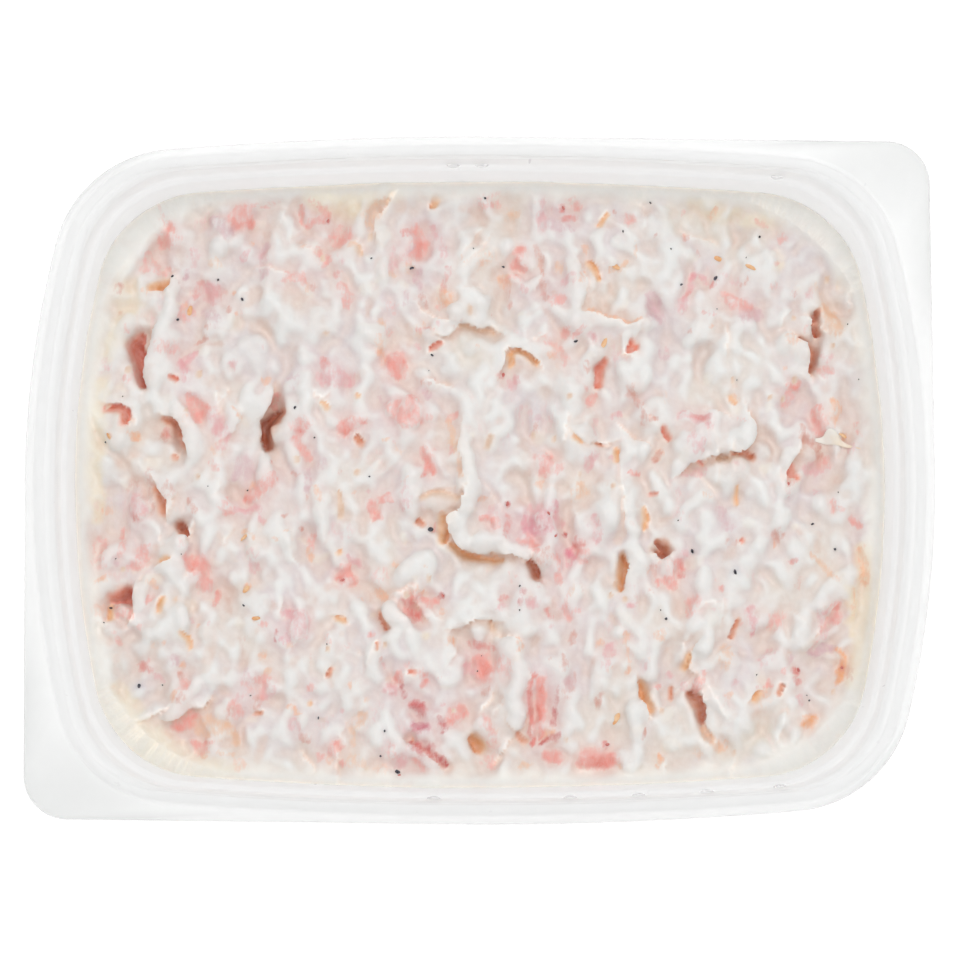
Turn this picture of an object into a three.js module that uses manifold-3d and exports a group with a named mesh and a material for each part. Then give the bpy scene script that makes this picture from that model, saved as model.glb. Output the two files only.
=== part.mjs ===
// Garlic cheese spread with ham in a thermoformed deli tub, in millimetres, +Z up.
// The origin is on the surface that the tub stands on, under the middle of its flange.
import * as THREE from "three";
import { mergeVertices } from "three/addons/utils/BufferGeometryUtils.js";
import Module from "manifold-3d";

const wasm = await Module();
wasm.setup();

// Tub: overall plan, height and wall
const tubLength = 108;
const tubWidth = 82;
const tubHeight = 34;
const wall = 0.6;
const draft = Math.tan(THREE.MathUtils.degToRad(10));

// Plan arcs: the short and long sides bow out, and the corners run tangent to both
const shortSideRadius = 118;
const longSideRadius = 444;
const flangeCorner = 14.8;
const cavityCorner = 13.4;
const panelCorner = 8;

// Flange: widths at the ends and at the long sides, sealing bead, and two square peel tabs
const flangeEnd = 3.4;
const flangeSide = 2.5;
const beadRise = 0.4;
const flangeTop = tubHeight - beadRise;
const edgeRound = 0.3;
const beadInset = 1.7;
const beadHalf = 0.6;
const tabCorner = 5.2;
const tabX = tubLength / 2 - 0.25;
const tabY = tubWidth / 2 - 0.6;

// Cavity: stacking ledge under the rim, straight drafted wall, rounded foot and raised floor panel
const ledgeDrop = 3.2;
const ledgeStep = 0.8;
const ledgeRound = 0.3;
const rimWallInset = 0.5;
const rimRound = 0.25;
const rimRoundDrop = 0.8;
const rimCornerEase = 0.4;
const footRadius = 4;
const footTurns = [90, 60, 30, 0];
const footCornerEase = 1 / 3;
const floorPanelInset = 9;
const floorPanelRise = 0.8;

// Stacking lugs on the ledge: distance along X, on the front and on the back wall
const frontLugs = [-5.5, 10.7, 18.8, 26.9, 35.6];
const backLugs = [-3.2, 0.2, 35.8];
const lugSize = [1.1, 0.55, 0.5];
const lugLift = 0.35;
const lugIntoWall = 0.1;

// Points round a quarter of the plan
const sideSteps = 3;
const cornerSteps = 8;

// Spread: mean level, gap to the tub, grid of its top, and how it climbs the wall
const spreadLevel = 25.2;
const gap = 0.3;
const gridStep = 2.1;
const narrowestStroke = 1.2;
const wallClimb = 0.7;
const wallClimbReach = 1.3;

// Folds of cream and hollows between them: route, half width and rise
const folds = [
  { route: [[-37.6, 23], [-38.6, 18.5], [-39.2, 13], [-41.5, 9.6]], half: 1.1, rise: 1.2 },
  { route: [[-36, 8], [-33.2, -1.5], [-37, -10.5], [-38.6, -17.8]], half: 1.3, rise: 1.3 },
  { route: [[-33.4, -17.5], [-33.2, -23], [-37.2, -28]], half: 1, rise: 1.1 },
  { route: [[-25.4, 22], [-22.6, 18.5], [-20.8, 11.5]], half: 1.2, rise: 0.9 },
  { route: [[-11.6, 36], [-12.6, 27.5], [-10.8, 24]], half: 1, rise: 0.9 },
  { route: [[-5.2, 18.2], [-3, 21], [0.4, 22.2]], half: 1.2, rise: 1.3 },
  { route: [[11.4, 28], [12, 20.4], [19.8, 19.6]], half: 1.3, rise: 1.2 },
  { route: [[13.2, 15.4], [9.8, 8.6], [10.4, 5.4]], half: 1.4, rise: 1.2 },
  { route: [[-2.4, 9.4], [-1.2, -3]], half: 1.3, rise: 1.1 },
  { route: [[-3, -5], [-1.4, -6.8], [2.2, -7.6], [7.4, -8.8]], half: 1.2, rise: 1.5 },
  { route: [[17.8, 4.6], [18.4, -4.6], [20.6, -12.6]], half: 0.9, rise: 1.1 },
  { route: [[21.4, 9.6], [26, 6], [31.8, 5.6]], half: 1.7, rise: 1.4 },
  { route: [[28.4, -15.6], [26.6, -21.2]], half: 1.3, rise: 1.2 },
  { route: [[16.6, -18.6], [18.8, -30.4]], half: 0.9, rise: 0.8 },
  { route: [[0.4, -10.4], [4.6, -21], [4.4, -29]], half: 1, rise: 1 },
  { route: [[-14.6, -15], [-12, -26]], half: 1, rise: 0.9 },
  { route: [[-12.2, -31.6], [-6, -34.9]], half: 1.8, rise: 1.4 },
];
const hollows = [
  { route: [[-24.6, 9.2], [-26.1, 7.2], [-25.8, 4.9]], half: 1, rise: -3 },
  { route: [[-42, 16.8], [-40.6, 11.6]], half: 0.8, rise: -2 },
  { route: [[-36.6, 7.4], [-35.9, 4.6]], half: 0.9, rise: -1.2 },
  { route: [[-36, -5.2], [-35.8, -6.1]], half: 0.7, rise: -2 },
  { route: [[-44.2, -14.6], [-41.9, -13.9]], half: 0.9, rise: -2 },
  { route: [[-2.6, 19.2], [1.8, 18.4]], half: 0.8, rise: -1 },
  { route: [[14.8, 14.6], [14.4, 12.4]], half: 0.8, rise: -1 },
  { route: [[29.2, 3.3], [33, 3.9]], half: 0.8, rise: -1 },
  { route: [[40.6, 20.4], [40.9, 18.2], [40.2, 14.9]], half: 0.8, rise: -2.4 },
  { route: [[-6.2, -4.4], [-4.3, -5.6], [-2.2, -8.2], [2.4, -9]], half: 1, rise: -1.2 },
  { route: [[6.3, -9.6], [6.9, -11.2]], half: 0.8, rise: -1.5 },
  { route: [[-12, -15.6], [-11.2, -17.5]], half: 0.7, rise: -1.3 },
  { route: [[-8.2, -31], [-4, -33.9]], half: 0.8, rise: -1.1 },
  { route: [[-0.3, -31.2], [-0.1, -31.3]], half: 1.1, rise: -1.4 },
  { route: [[17.2, -8.8], [17.2, -12]], half: 0.9, rise: -1.5 },
  { route: [[21.5, -7.8], [22.3, -8.2]], half: 1, rise: -2 },
  { route: [[25.7, -25.4], [27.2, -30.4]], half: 0.9, rise: -1.5 },
  { route: [[19.5, -24.2], [20.5, -27.3]], half: 0.9, rise: -1.2 },
];

// The largest ham pieces: place, length, width and turn in degrees
const largeHam = [
  [-38.9, 26.8, 4, 3, 0], [-29.4, 32.2, 5, 2.6, 10], [-20.4, 32.8, 4.2, 3.6, -20],
  [-8.2, 28.6, 5.6, 3, 70], [1.8, 34.7, 5, 2, 5], [10.4, 33.2, 3.8, 3, -15],
  [-9.2, 8.6, 5, 3.6, 10], [-34, 10.2, 6, 2.8, -40], [-27.2, -0.9, 4.8, 2.2, 42],
  [-43.4, -9.6, 5, 3.4, 80], [-22.3, -16, 6, 4.6, -50], [-33.2, -29.8, 7.6, 3.8, -5],
  [-16.6, -12, 6.6, 2, 95], [-8.4, -14.8, 4.2, 2.4, -60], [7.4, -4.4, 6, 4, -10],
  [0, -22, 4.2, 3.8, 0], [7.2, -27, 9.6, 2.8, 88], [14.4, -33.3, 5, 2.6, -5],
  [-10, -32.8, 5.6, 3.4, -32], [26.2, 7.4, 4.2, 1.8, -8], [31.8, 21.9, 5.6, 3.2, -25],
  [41.8, 7.6, 4.4, 3.2, 75], [42.8, -21.6, 5.6, 2.6, 85], [22.8, -11.8, 3.4, 2.8, 10],
];

// How far ham dice tilt in radians, how much of a corner stays, and how proud they stand
const hamTilt = 0.5;
const leastCorner = 0.72;
const hamProud = 0.35;

// Smaller ham dice, the pepper grains that show from a step away, and the cream's soft lumps
const smallHam = { count: 60, shortest: 1.6, longest: 3.6, slimmest: 0.55, offWall: 1.6, seed: 11 };
const pepper = { count: 26, radius: 0.42, proud: 0.14, offWall: 2.5, seed: 29 };
const lumps = { count: 150, smallest: 2, largest: 4.2, rise: 0.55, seed: 5 };

// Repeatable draw between 0 and 1
function drawFrom(seed) {
  let state = seed;
  return () => (state = (state * 1664525 + 1013904223) % 4294967296) / 4294967296;
}

// One quarter of a bowed outline, from the +X axis to the +Y axis
function bowedQuarter(halfX, halfY, corner) {
  const sideX = halfX - shortSideRadius;
  const topY = halfY - longSideRadius;
  const toSide = shortSideRadius - corner;
  const toTop = longSideRadius - corner;
  // The corner's centre lies where circles about the two side centres cross
  const apart = Math.hypot(sideX, topY);
  const along = (toSide ** 2 - toTop ** 2 + apart ** 2) / (2 * apart);
  const across = Math.sqrt(toSide ** 2 - along ** 2);
  const centre = new THREE.Vector2(
    sideX + (-sideX * along - topY * across) / apart,
    (topY * along - sideX * across) / apart,
  );
  const start = Math.atan2(centre.y, centre.x - sideX);
  const end = Math.atan2(centre.y - topY, centre.x);
  const arc = (x, y, radius, from, to, steps) =>
    Array.from({ length: steps }, (_, i) => {
      const angle = from + ((to - from) * i) / steps;
      return [x + radius * Math.cos(angle), y + radius * Math.sin(angle)];
    });
  return [
    ...arc(sideX, 0, shortSideRadius, 0, start, sideSteps),
    ...arc(centre.x, centre.y, corner, start, end, cornerSteps),
    ...arc(0, topY, longSideRadius, end, Math.PI / 2, sideSteps),
  ];
}

// The same quarter where a square peel tab stands out, inset from the tab's edge
function tabQuarter(halfX, halfY, inset) {
  const radius = tabCorner - inset;
  const cornerX = tabX - tabCorner;
  const cornerY = tabY - tabCorner;
  const line = (from, to) =>
    Array.from({ length: sideSteps }, (_, i) => {
      const share = i / sideSteps;
      return [from[0] + (to[0] - from[0]) * share, from[1] + (to[1] - from[1]) * share];
    });
  const round = Array.from({ length: cornerSteps }, (_, i) => {
    const angle = (Math.PI / 2) * (i / cornerSteps);
    return [cornerX + radius * Math.cos(angle), cornerY + radius * Math.sin(angle)];
  });
  return [
    ...line([halfX, 0], [cornerX + radius, cornerY]),
    ...round,
    ...line([cornerX, cornerY + radius], [0, halfY]),
  ];
}

// A whole outline from quarters; opposite quarters are alike
function closedOutline(oddQuarter, evenQuarter, halfX, halfY) {
  const ends = [[halfX, 0], [0, halfY]];
  const mirrored = [...evenQuarter.slice(1), ends[1]].reverse().map(([x, y]) => [-x, y]);
  const half = [...oddQuarter, ...mirrored];
  return [...half, ...half.map(([x, y]) => [-x, -y])];
}

function bowedOutline({ halfX, halfY, corner, z }) {
  const quarter = bowedQuarter(halfX, halfY, corner);
  return closedOutline(quarter, quarter, halfX, halfY).map(([x, y]) => [x, y, z]);
}

function tabbedOutline(inset, z) {
  const halfX = tubLength / 2 - inset;
  const halfY = tubWidth / 2 - inset;
  const plain = bowedQuarter(halfX, halfY, flangeCorner - inset);
  const tab = tabQuarter(halfX, halfY, inset);
  return closedOutline(tab, plain, halfX, halfY).map(([x, y]) => [x, y, z]);
}

// Closed skin through outlines, from a cap that faces up to a cap that faces down
function loftGeometry(rings) {
  const count = rings[0].length;
  const vertices = rings.flat();
  const faces = [];
  rings.slice(1).forEach((_, r) => {
    for (let i = 0; i < count; i++) {
      const next = (i + 1) % count;
      const [a, b] = [r * count + i, r * count + next];
      const [c, d] = [(r + 1) * count + i, (r + 1) * count + next];
      faces.push(a, c, d, a, d, b);
    }
  });
  const cap = (first, z, up) => {
    const middle = vertices.push([0, 0, z]) - 1;
    for (let i = 0; i < count; i++) {
      const [a, b] = [first + i, first + ((i + 1) % count)];
      faces.push(middle, up ? a : b, up ? b : a);
    }
  };
  cap(0, rings[0][0][2], true);
  cap((rings.length - 1) * count, rings.at(-1)[0][2], false);
  const geometry = new THREE.BufferGeometry();
  geometry.setAttribute("position", new THREE.Float32BufferAttribute(vertices.flat(), 3));
  geometry.setIndex(faces);
  return geometry;
}

function solidOf(geometry) {
  const bare = geometry.clone();
  bare.deleteAttribute("normal");
  bare.deleteAttribute("uv");
  const merged = mergeVertices(bare, 1e-4);
  return new wasm.Manifold(
    new wasm.Mesh({
      numProp: 3,
      vertProperties: merged.attributes.position.array,
      triVerts: new Uint32Array(merged.index.array),
    }),
  );
}

function geometryOf(solid) {
  const mesh = solid.getMesh();
  const geometry = new THREE.BufferGeometry();
  geometry.setAttribute("position", new THREE.BufferAttribute(mesh.vertProperties, 3));
  geometry.setIndex(new THREE.BufferAttribute(mesh.triVerts, 1));
  geometry.computeVertexNormals();
  return geometry;
}

// Levels of the cavity from the floor panel up to the rim; grow moves its skin out and down
function cavityLevels(grow) {
  const rimX = tubLength / 2 - flangeEnd;
  const rimY = tubWidth / 2 - flangeSide;
  const ledgeZ = flangeTop - ledgeDrop;
  const level = (inset, corner, z, out = grow) => ({
    halfX: rimX - inset + out,
    halfY: rimY - inset + out,
    corner: corner + out,
    z: z - grow,
  });
  const footTop = footRadius + wall;
  const wallInset = rimWallInset + ledgeStep;
  const footInset = wallInset + (ledgeZ - footTop) * draft;
  const foot = footTurns.map((turn) => {
    const angle = THREE.MathUtils.degToRad(turn);
    const inset = footInset + footRadius * (1 - Math.cos(angle));
    return level(inset, cavityCorner - inset * footCornerEase, footTop - footRadius * Math.sin(angle));
  });
  const panel = footInset + floorPanelInset;
  return [
    level(panel + floorPanelRise, panelCorner - floorPanelRise, wall + floorPanelRise, -grow),
    level(panel, panelCorner, wall, -grow),
    ...foot,
    level(wallInset, cavityCorner, ledgeZ),
    level(rimWallInset, cavityCorner, ledgeZ + ledgeRound),
    level(rimRound, cavityCorner - rimCornerEase, flangeTop - rimRoundDrop),
  ];
}

function tubGeometry() {
  const rim = { halfX: tubLength / 2 - flangeEnd, halfY: tubWidth / 2 - flangeSide };
  const bead = (offset, z) => ({
    halfX: tubLength / 2 - beadInset + offset,
    halfY: tubWidth / 2 - beadInset + offset,
    corner: flangeCorner - beadInset + offset,
    z,
  });
  const under = flangeTop - wall;
  const outside = cavityLevels(wall).reverse().slice(1);
  const rings = [
    ...cavityLevels(0).map(bowedOutline),
    bowedOutline({ ...rim, corner: cavityCorner - 2 * rimCornerEase, z: flangeTop - rimRound }),
    bowedOutline(bead(-beadHalf, flangeTop)),
    bowedOutline(bead(-beadHalf / 2, tubHeight)),
    bowedOutline(bead(beadHalf / 2, tubHeight)),
    bowedOutline(bead(beadHalf, flangeTop)),
    tabbedOutline(edgeRound, flangeTop),
    tabbedOutline(0, flangeTop - edgeRound),
    tabbedOutline(0, under),
    bowedOutline({ halfX: rim.halfX + wall, halfY: rim.halfY + wall, corner: cavityCorner, z: under }),
    ...outside.map(bowedOutline),
  ];
  const cup = solidOf(loftGeometry(rings));
  return geometryOf(stackingLugs().reduce((tub, lug) => tub.add(lug), cup));
}

// Small half-round lugs that keep stacked tubs apart
function stackingLugs() {
  const lug = (x, side) => {
    const z = flangeTop - ledgeDrop + lugLift;
    const halfY = tubWidth / 2 - flangeSide - rimWallInset;
    const y = halfY - x ** 2 / (2 * longSideRadius) + lugIntoWall;
    const shape = new THREE.SphereGeometry(1, 8, 6).scale(...lugSize);
    return solidOf(shape.translate(x, side * y, z));
  };
  return [...frontLugs.map((x) => lug(x, -1)), ...backLugs.map((x) => lug(x, 1))];
}

// Distance from a point to a route of straight stretches
function distanceToRoute(x, y, route) {
  const point = new THREE.Vector3(x, y, 0);
  const nearest = new THREE.Vector3();
  const corners = route.map(([px, py]) => new THREE.Vector3(px, py, 0));
  return Math.min(
    ...corners.slice(1).map((end, i) =>
      new THREE.Line3(corners[i], end).closestPointToPoint(point, true, nearest).distanceTo(point),
    ),
  );
}

const softLumps = (() => {
  const draw = drawFrom(lumps.seed);
  return Array.from({ length: lumps.count }, () => ({
    x: (draw() - 0.5) * tubLength,
    y: (draw() - 0.5) * tubWidth,
    radius: THREE.MathUtils.lerp(lumps.smallest, lumps.largest, draw()),
    rise: (draw() * 2 - 1) * lumps.rise,
  }));
})();

// How far inside the cavity a point is at the spread's level
function wallDistance(x, y) {
  const inset = rimWallInset + ledgeStep + (flangeTop - ledgeDrop - spreadLevel) * draft;
  const halfX = tubLength / 2 - flangeEnd - inset - y ** 2 / (2 * shortSideRadius);
  const halfY = tubWidth / 2 - flangeSide - inset - x ** 2 / (2 * longSideRadius);
  const outX = Math.abs(x) - halfX + cavityCorner;
  const outY = Math.abs(y) - halfY + cavityCorner;
  const beyond = Math.hypot(Math.max(outX, 0), Math.max(outY, 0)) + Math.min(Math.max(outX, outY), 0);
  return Math.max(cavityCorner - beyond, 0);
}

// Height of the spread's top
function topHeight(x, y) {
  const bell = (distance, half) => Math.exp(-((distance / half) ** 2));
  let z = spreadLevel + wallClimb * bell(wallDistance(x, y), wallClimbReach);
  for (const lump of softLumps) {
    z += lump.rise * bell(Math.hypot(x - lump.x, y - lump.y), lump.radius);
  }
  for (const { route, half, rise } of [...folds, ...hollows]) {
    z += rise * bell(distanceToRoute(x, y, route), Math.max(half, narrowestStroke));
  }
  return z;
}

// Block whose upper face is the lumpy top, larger than the cavity all round
function toppedBlock() {
  const columns = Math.ceil(tubLength / gridStep);
  const rows = Math.ceil(tubWidth / gridStep);
  const block = new THREE.BoxGeometry(tubLength, tubWidth, 2, columns, rows, 1);
  const position = block.attributes.position;
  for (let i = 0; i < position.count; i++) {
    const top = position.getZ(i) > 0;
    position.setZ(i, top ? topHeight(position.getX(i), position.getY(i)) : -1);
  }
  return solidOf(block);
}

// A cut die with uneven corners, standing a little proud of the cream
function hamDie(x, y, length, width, turn, draw) {
  const height = Math.min(length, width);
  const die = new THREE.BoxGeometry(length, width, height);
  const corners = new Map();
  const position = die.attributes.position;
  for (let i = 0; i < position.count; i++) {
    const at = new THREE.Vector3().fromBufferAttribute(position, i);
    const key = at.toArray().map(Math.sign).join();
    const pulled = () => THREE.MathUtils.lerp(leastCorner, 1, draw());
    if (!corners.has(key)) corners.set(key, [pulled(), pulled(), pulled()]);
    const [sx, sy, sz] = corners.get(key);
    position.setXYZ(i, at.x * sx, at.y * sy, at.z * sz);
  }
  die.rotateX((draw() - 0.5) * hamTilt);
  die.rotateY((draw() - 0.5) * hamTilt);
  die.rotateZ(THREE.MathUtils.degToRad(turn));
  return die.translate(x, y, topHeight(x, y) + hamProud - height / 2);
}

function hamDice() {
  const draw = drawFrom(smallHam.seed);
  const large = largeHam.map(([x, y, length, width, turn]) =>
    hamDie(x, y, length, width, turn, draw),
  );
  const small = [];
  while (small.length < smallHam.count) {
    const [x, y] = [(draw() - 0.5) * tubLength, (draw() - 0.5) * tubWidth];
    const length = THREE.MathUtils.lerp(smallHam.shortest, smallHam.longest, draw());
    const width = length * THREE.MathUtils.lerp(smallHam.slimmest, 1, draw());
    const turn = 180 * draw();
    if (wallDistance(x, y) < length / 2 + smallHam.offWall) continue;
    small.push(hamDie(x, y, length, width, turn, draw));
  }
  return [...large, ...small];
}

function pepperGrains() {
  const draw = drawFrom(pepper.seed);
  const grains = [];
  while (grains.length < pepper.count) {
    const [x, y] = [(draw() - 0.5) * tubLength, (draw() - 0.5) * tubWidth];
    if (wallDistance(x, y) < pepper.offWall) continue;
    const grain = new THREE.OctahedronGeometry(pepper.radius).rotateZ(Math.PI * draw());
    grains.push(grain.translate(x, y, topHeight(x, y) + pepper.proud));
  }
  return grains;
}

// The spread fills the tub up to its lumpy top, with ham and pepper fused on
function spreadGeometry() {
  const levels = cavityLevels(-gap);
  const mouth = { ...levels.at(-1), z: tubHeight };
  const cavity = solidOf(loftGeometry([...levels, mouth].map(bowedOutline).reverse()));
  const room = [...hamDice(), ...pepperGrains()].map(solidOf);
  const mixed = wasm.Manifold.union([toppedBlock(), ...room]);
  const [largest] = mixed.intersect(cavity).decompose().sort((a, b) => b.volume() - a.volume());
  return geometryOf(largest);
}

const polypropylene = new THREE.MeshStandardMaterial({
  name: "clear_polypropylene",
  color: 0xeef0f0,
  roughness: 0.22,
  metalness: 0,
  transparent: true,
  opacity: 0.45,
});
const cheeseSpread = new THREE.MeshStandardMaterial({
  name: "cheese_spread",
  color: 0xf0e2d6,
  roughness: 0.45,
  metalness: 0,
});

function namedMesh(name, geometry, material) {
  const mesh = new THREE.Mesh(geometry, material);
  mesh.name = name;
  return mesh;
}

const tubOfSpread = new THREE.Group();
tubOfSpread.add(
  namedMesh("tub", tubGeometry(), polypropylene),
  namedMesh("spread", spreadGeometry(), cheeseSpread),
);

export default tubOfSpread;
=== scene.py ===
import math

import bmesh
import bpy
import numpy as np
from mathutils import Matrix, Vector, noise
from mathutils.bvhtree import BVHTree


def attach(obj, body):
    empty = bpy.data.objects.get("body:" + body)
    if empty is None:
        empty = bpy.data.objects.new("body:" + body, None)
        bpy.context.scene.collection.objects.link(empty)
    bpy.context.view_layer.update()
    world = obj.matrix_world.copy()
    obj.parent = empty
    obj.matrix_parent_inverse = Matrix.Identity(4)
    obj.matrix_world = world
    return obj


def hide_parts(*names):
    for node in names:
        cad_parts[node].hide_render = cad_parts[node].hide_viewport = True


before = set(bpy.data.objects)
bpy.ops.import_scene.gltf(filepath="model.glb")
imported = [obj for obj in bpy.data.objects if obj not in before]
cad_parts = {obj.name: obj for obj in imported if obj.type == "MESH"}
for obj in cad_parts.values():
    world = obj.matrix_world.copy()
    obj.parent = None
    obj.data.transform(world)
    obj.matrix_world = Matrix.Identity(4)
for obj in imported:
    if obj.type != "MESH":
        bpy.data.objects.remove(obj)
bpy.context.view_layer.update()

mm = 0.001


def linear(red, green, blue):
    def channel(value):
        share = value / 255
        return share / 12.92 if share <= 0.04045 else ((share + 0.055) / 1.055) ** 2.4
    return (channel(red), channel(green), channel(blue), 1.0)


def smoothStep(low, high, value):
    share = np.clip((value - low) / (high - low), 0, 1)
    return share * share * (3 - 2 * share)


def bell(distance, half):
    return np.exp(-((distance / half) ** 2))


def between(low, high, share):
    return low + (high - low) * share


def grown(start, growth, share):
    return start + growth * share


# shader maths

class Wire:  # one output socket, so that shader maths reads as an expression
    def __init__(self, paint, socket):
        self.paint = paint
        self.socket = socket

    def __add__(self, other):
        return self.paint.maths("ADD", self, other)

    def __radd__(self, other):
        return self.paint.maths("ADD", other, self)

    def __sub__(self, other):
        return self.paint.maths("SUBTRACT", self, other)

    def __rsub__(self, other):
        return self.paint.maths("SUBTRACT", other, self)

    def __mul__(self, other):
        return self.paint.maths("MULTIPLY", self, other)


class Paint:  # one material and its node tree
    def __init__(self, name):
        self.material = bpy.data.materials.new(name)
        self.material.use_nodes = True
        self.tree = self.material.node_tree
        self.tree.nodes.clear()
        self.place = self.node("ShaderNodeTexCoord", out="Object")

    def plug(self, socket, value):
        if isinstance(value, Wire):
            self.tree.links.new(value.socket, socket)
        else:
            socket.default_value = value

    def node(self, kind, settings=None, values=None, out=0):
        made = self.tree.nodes.new(kind)
        for name, value in (settings or {}).items():
            if name == "stops":
                for spot, (share, grey) in zip(made.color_ramp.elements, value):
                    spot.position = share
                    spot.color = (grey, grey, grey, 1)
            else:
                setattr(made, name, value)
        for socket, value in (values or {}).items():
            self.plug(made.inputs[socket], value)
        return Wire(self, made.outputs[out])

    def maths(self, operation, first, second):
        return self.node("ShaderNodeMath", {"operation": operation}, {0: first, 1: second})

    def ramp(self, value, low, high):
        stops = [(low, 0.0), (high, 1.0)]
        return self.node("ShaderNodeValToRGB", {"stops": stops}, {0: value})

    def blend(self, share, first, second):
        return self.node("ShaderNodeMix", {"data_type": "RGBA"}, {0: share, 6: first, 7: second}, out=2)

    def noise(self, size, detail=3.0, stretch=(1, 1, 1), rough=0.5):
        place = self.node("ShaderNodeMapping", {}, {"Vector": self.place, "Scale": stretch})
        values = {"Vector": place, "Scale": 1 / (size * mm), "Detail": detail, "Roughness": rough}
        return self.node("ShaderNodeTexNoise", {}, values)

    def attribute(self, name, out="Fac"):
        return self.node("ShaderNodeAttribute", {"attribute_name": name}, out=out)

    def bump(self, height, depth, strength=1.0):
        values = {"Strength": strength, "Distance": depth * mm, "Height": height}
        return self.node("ShaderNodeBump", {}, values)

    def finish(self, **values):
        surface = self.node("ShaderNodeBsdfPrincipled", {"subsurface_method": "BURLEY"}, values)
        output = self.tree.nodes.new("ShaderNodeOutputMaterial")
        self.tree.links.new(surface.socket, output.inputs["Surface"])
        return self.material


def meshPiece(name, vertices, faces, material, smooth=True):
    mesh = bpy.data.meshes.new(name)
    mesh.from_pydata([tuple(v) for v in np.asarray(vertices) * mm], [], faces)
    mesh.materials.append(material)
    mesh.polygons.foreach_set("use_smooth", [smooth] * len(mesh.polygons))
    mesh.update()
    piece = bpy.data.objects.new(name, mesh)
    bpy.context.scene.collection.objects.link(piece)
    return piece


# the camera comes first: above the tub, leaning a little towards its front

cameraView = {"distance": 0.45, "elevation": 84.7, "widthAtRim": 0.1137, "aim": (0, -0.00036, 0.034)}


def makeCamera(view):
    camera = bpy.data.objects.new("camera", bpy.data.cameras.new("camera"))
    camera.data.lens = camera.data.sensor_width * view["distance"] / view["widthAtRim"]
    camera.data.clip_start = 0.01
    tilt = math.radians(view["elevation"])
    back = Vector((0, -math.cos(tilt), math.sin(tilt)))
    camera.location = Vector(view["aim"]) + back * view["distance"]
    camera.rotation_euler = (-back).to_track_quat("-Z", "Y").to_euler()
    bpy.context.scene.collection.objects.link(camera)
    bpy.context.scene.camera = camera


makeCamera(cameraView)
print("camera ready")


# plan outlines, in millimetres, with bowed sides and tangent corners

plan = {
    "length": 108, "width": 82, "height": 34, "wall": 0.6, "draft": 10,
    "shortSideRadius": 118, "longSideRadius": 444,
    "flangeEnd": 3.4, "flangeSide": 2.5, "flangeDrop": 0.4, "cavityCorner": 13.4,
    "ledgeDrop": 3.2, "ledgeStep": 0.8, "ledgeRound": 0.5, "footRadius": 4, "footSteps": 7,
    "panelInset": 9, "panelRise": 0.8, "panelCorner": 8,
    "sideSteps": 16, "cornerSteps": 20,
}
flangeTop = plan["height"] - plan["flangeDrop"]
ledgeHeight = flangeTop - plan["ledgeDrop"]
rimX = plan["length"] / 2 - plan["flangeEnd"]
rimY = plan["width"] / 2 - plan["flangeSide"]
draft = math.tan(math.radians(plan["draft"]))


def arcPoints(x, y, radius, start, end, steps):
    angles = start + (end - start) * np.arange(steps) / steps
    return np.column_stack([x + radius * np.cos(angles), y + radius * np.sin(angles)])


def bowedQuarter(halfX, halfY, corner):
    sideRadius, topRadius = plan["shortSideRadius"], plan["longSideRadius"]
    sideX, topY = halfX - sideRadius, halfY - topRadius
    toSide, toTop = sideRadius - corner, topRadius - corner
    apart = math.hypot(sideX, topY)
    along = (toSide ** 2 - toTop ** 2 + apart ** 2) / (2 * apart)
    across = math.sqrt(toSide ** 2 - along ** 2)
    cornerX = sideX + (-sideX * along - topY * across) / apart
    cornerY = (topY * along - sideX * across) / apart
    start = math.atan2(cornerY, cornerX - sideX)
    end = math.atan2(cornerY - topY, cornerX)
    steps = plan["sideSteps"]
    return np.vstack([
        arcPoints(sideX, 0, sideRadius, 0, start, steps),
        arcPoints(cornerX, cornerY, corner, start, end, plan["cornerSteps"]),
        arcPoints(0, topY, topRadius, end, math.pi / 2, steps),
    ])


def closedOutline(oddQuarter, evenQuarter, halfY):
    mirrored = np.vstack([evenQuarter[1:], [[0, halfY]]])[::-1] * [-1, 1]
    half = np.vstack([oddQuarter, mirrored])
    return np.vstack([half, -half])


def bowedRing(halfX, halfY, corner, z):
    quarter = bowedQuarter(halfX, halfY, corner)
    outline = closedOutline(quarter, quarter, halfY)
    return np.column_stack([outline, np.full(len(outline), z)])


def cavityRing(inset, corner, z, out=0.0):
    return bowedRing(rimX - inset + out, rimY - inset + out, corner + out, z)


def cavityRings(grow):  # from the rim down to the raised floor panel
    wall, corner, foot = plan["wall"], plan["cavityCorner"], plan["footRadius"]
    step, curve, rise = plan["ledgeStep"], plan["ledgeRound"], plan["panelRise"]
    footTop = foot + wall
    footInset = step + curve + (ledgeHeight - footTop) * draft
    turns = [  # inset, corner radius, height
        (0.25, corner - 0.4, flangeTop - 0.8),
        (0.42, corner - 0.2, ledgeHeight + 1.2),
        (0.5, corner, ledgeHeight + 0.5),
        (0.62, corner, ledgeHeight + 0.22),
        (0.85, corner, ledgeHeight + 0.08),
        (step + 0.32, corner, ledgeHeight - 0.02),
        (step + curve, corner, ledgeHeight - 0.3),
    ]
    for share in (0.25, 0.5, 0.75, 0.9):
        inset = step + curve + (footInset - step - curve) * share
        turns.append((inset, corner - inset * share / 3, ledgeHeight + (footTop - ledgeHeight) * share))
    for i in range(plan["footSteps"] + 1):
        angle = math.pi / 2 * i / plan["footSteps"]
        inset = footInset + foot * (1 - math.cos(angle))
        turns.append((inset, corner - inset / 3, footTop - foot * math.sin(angle)))
    rings = [cavityRing(inset, radius, z - grow, grow) for inset, radius, z in turns]
    panel = footInset + plan["panelInset"]
    for share in (0, 0.12, 0.35, 0.65, 0.88, 1):
        z = wall + rise * float(smoothStep(0, 1, share))
        rings.append(cavityRing(panel + rise * share, plan["panelCorner"] - share, z - grow, -grow))
    return rings


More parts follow.
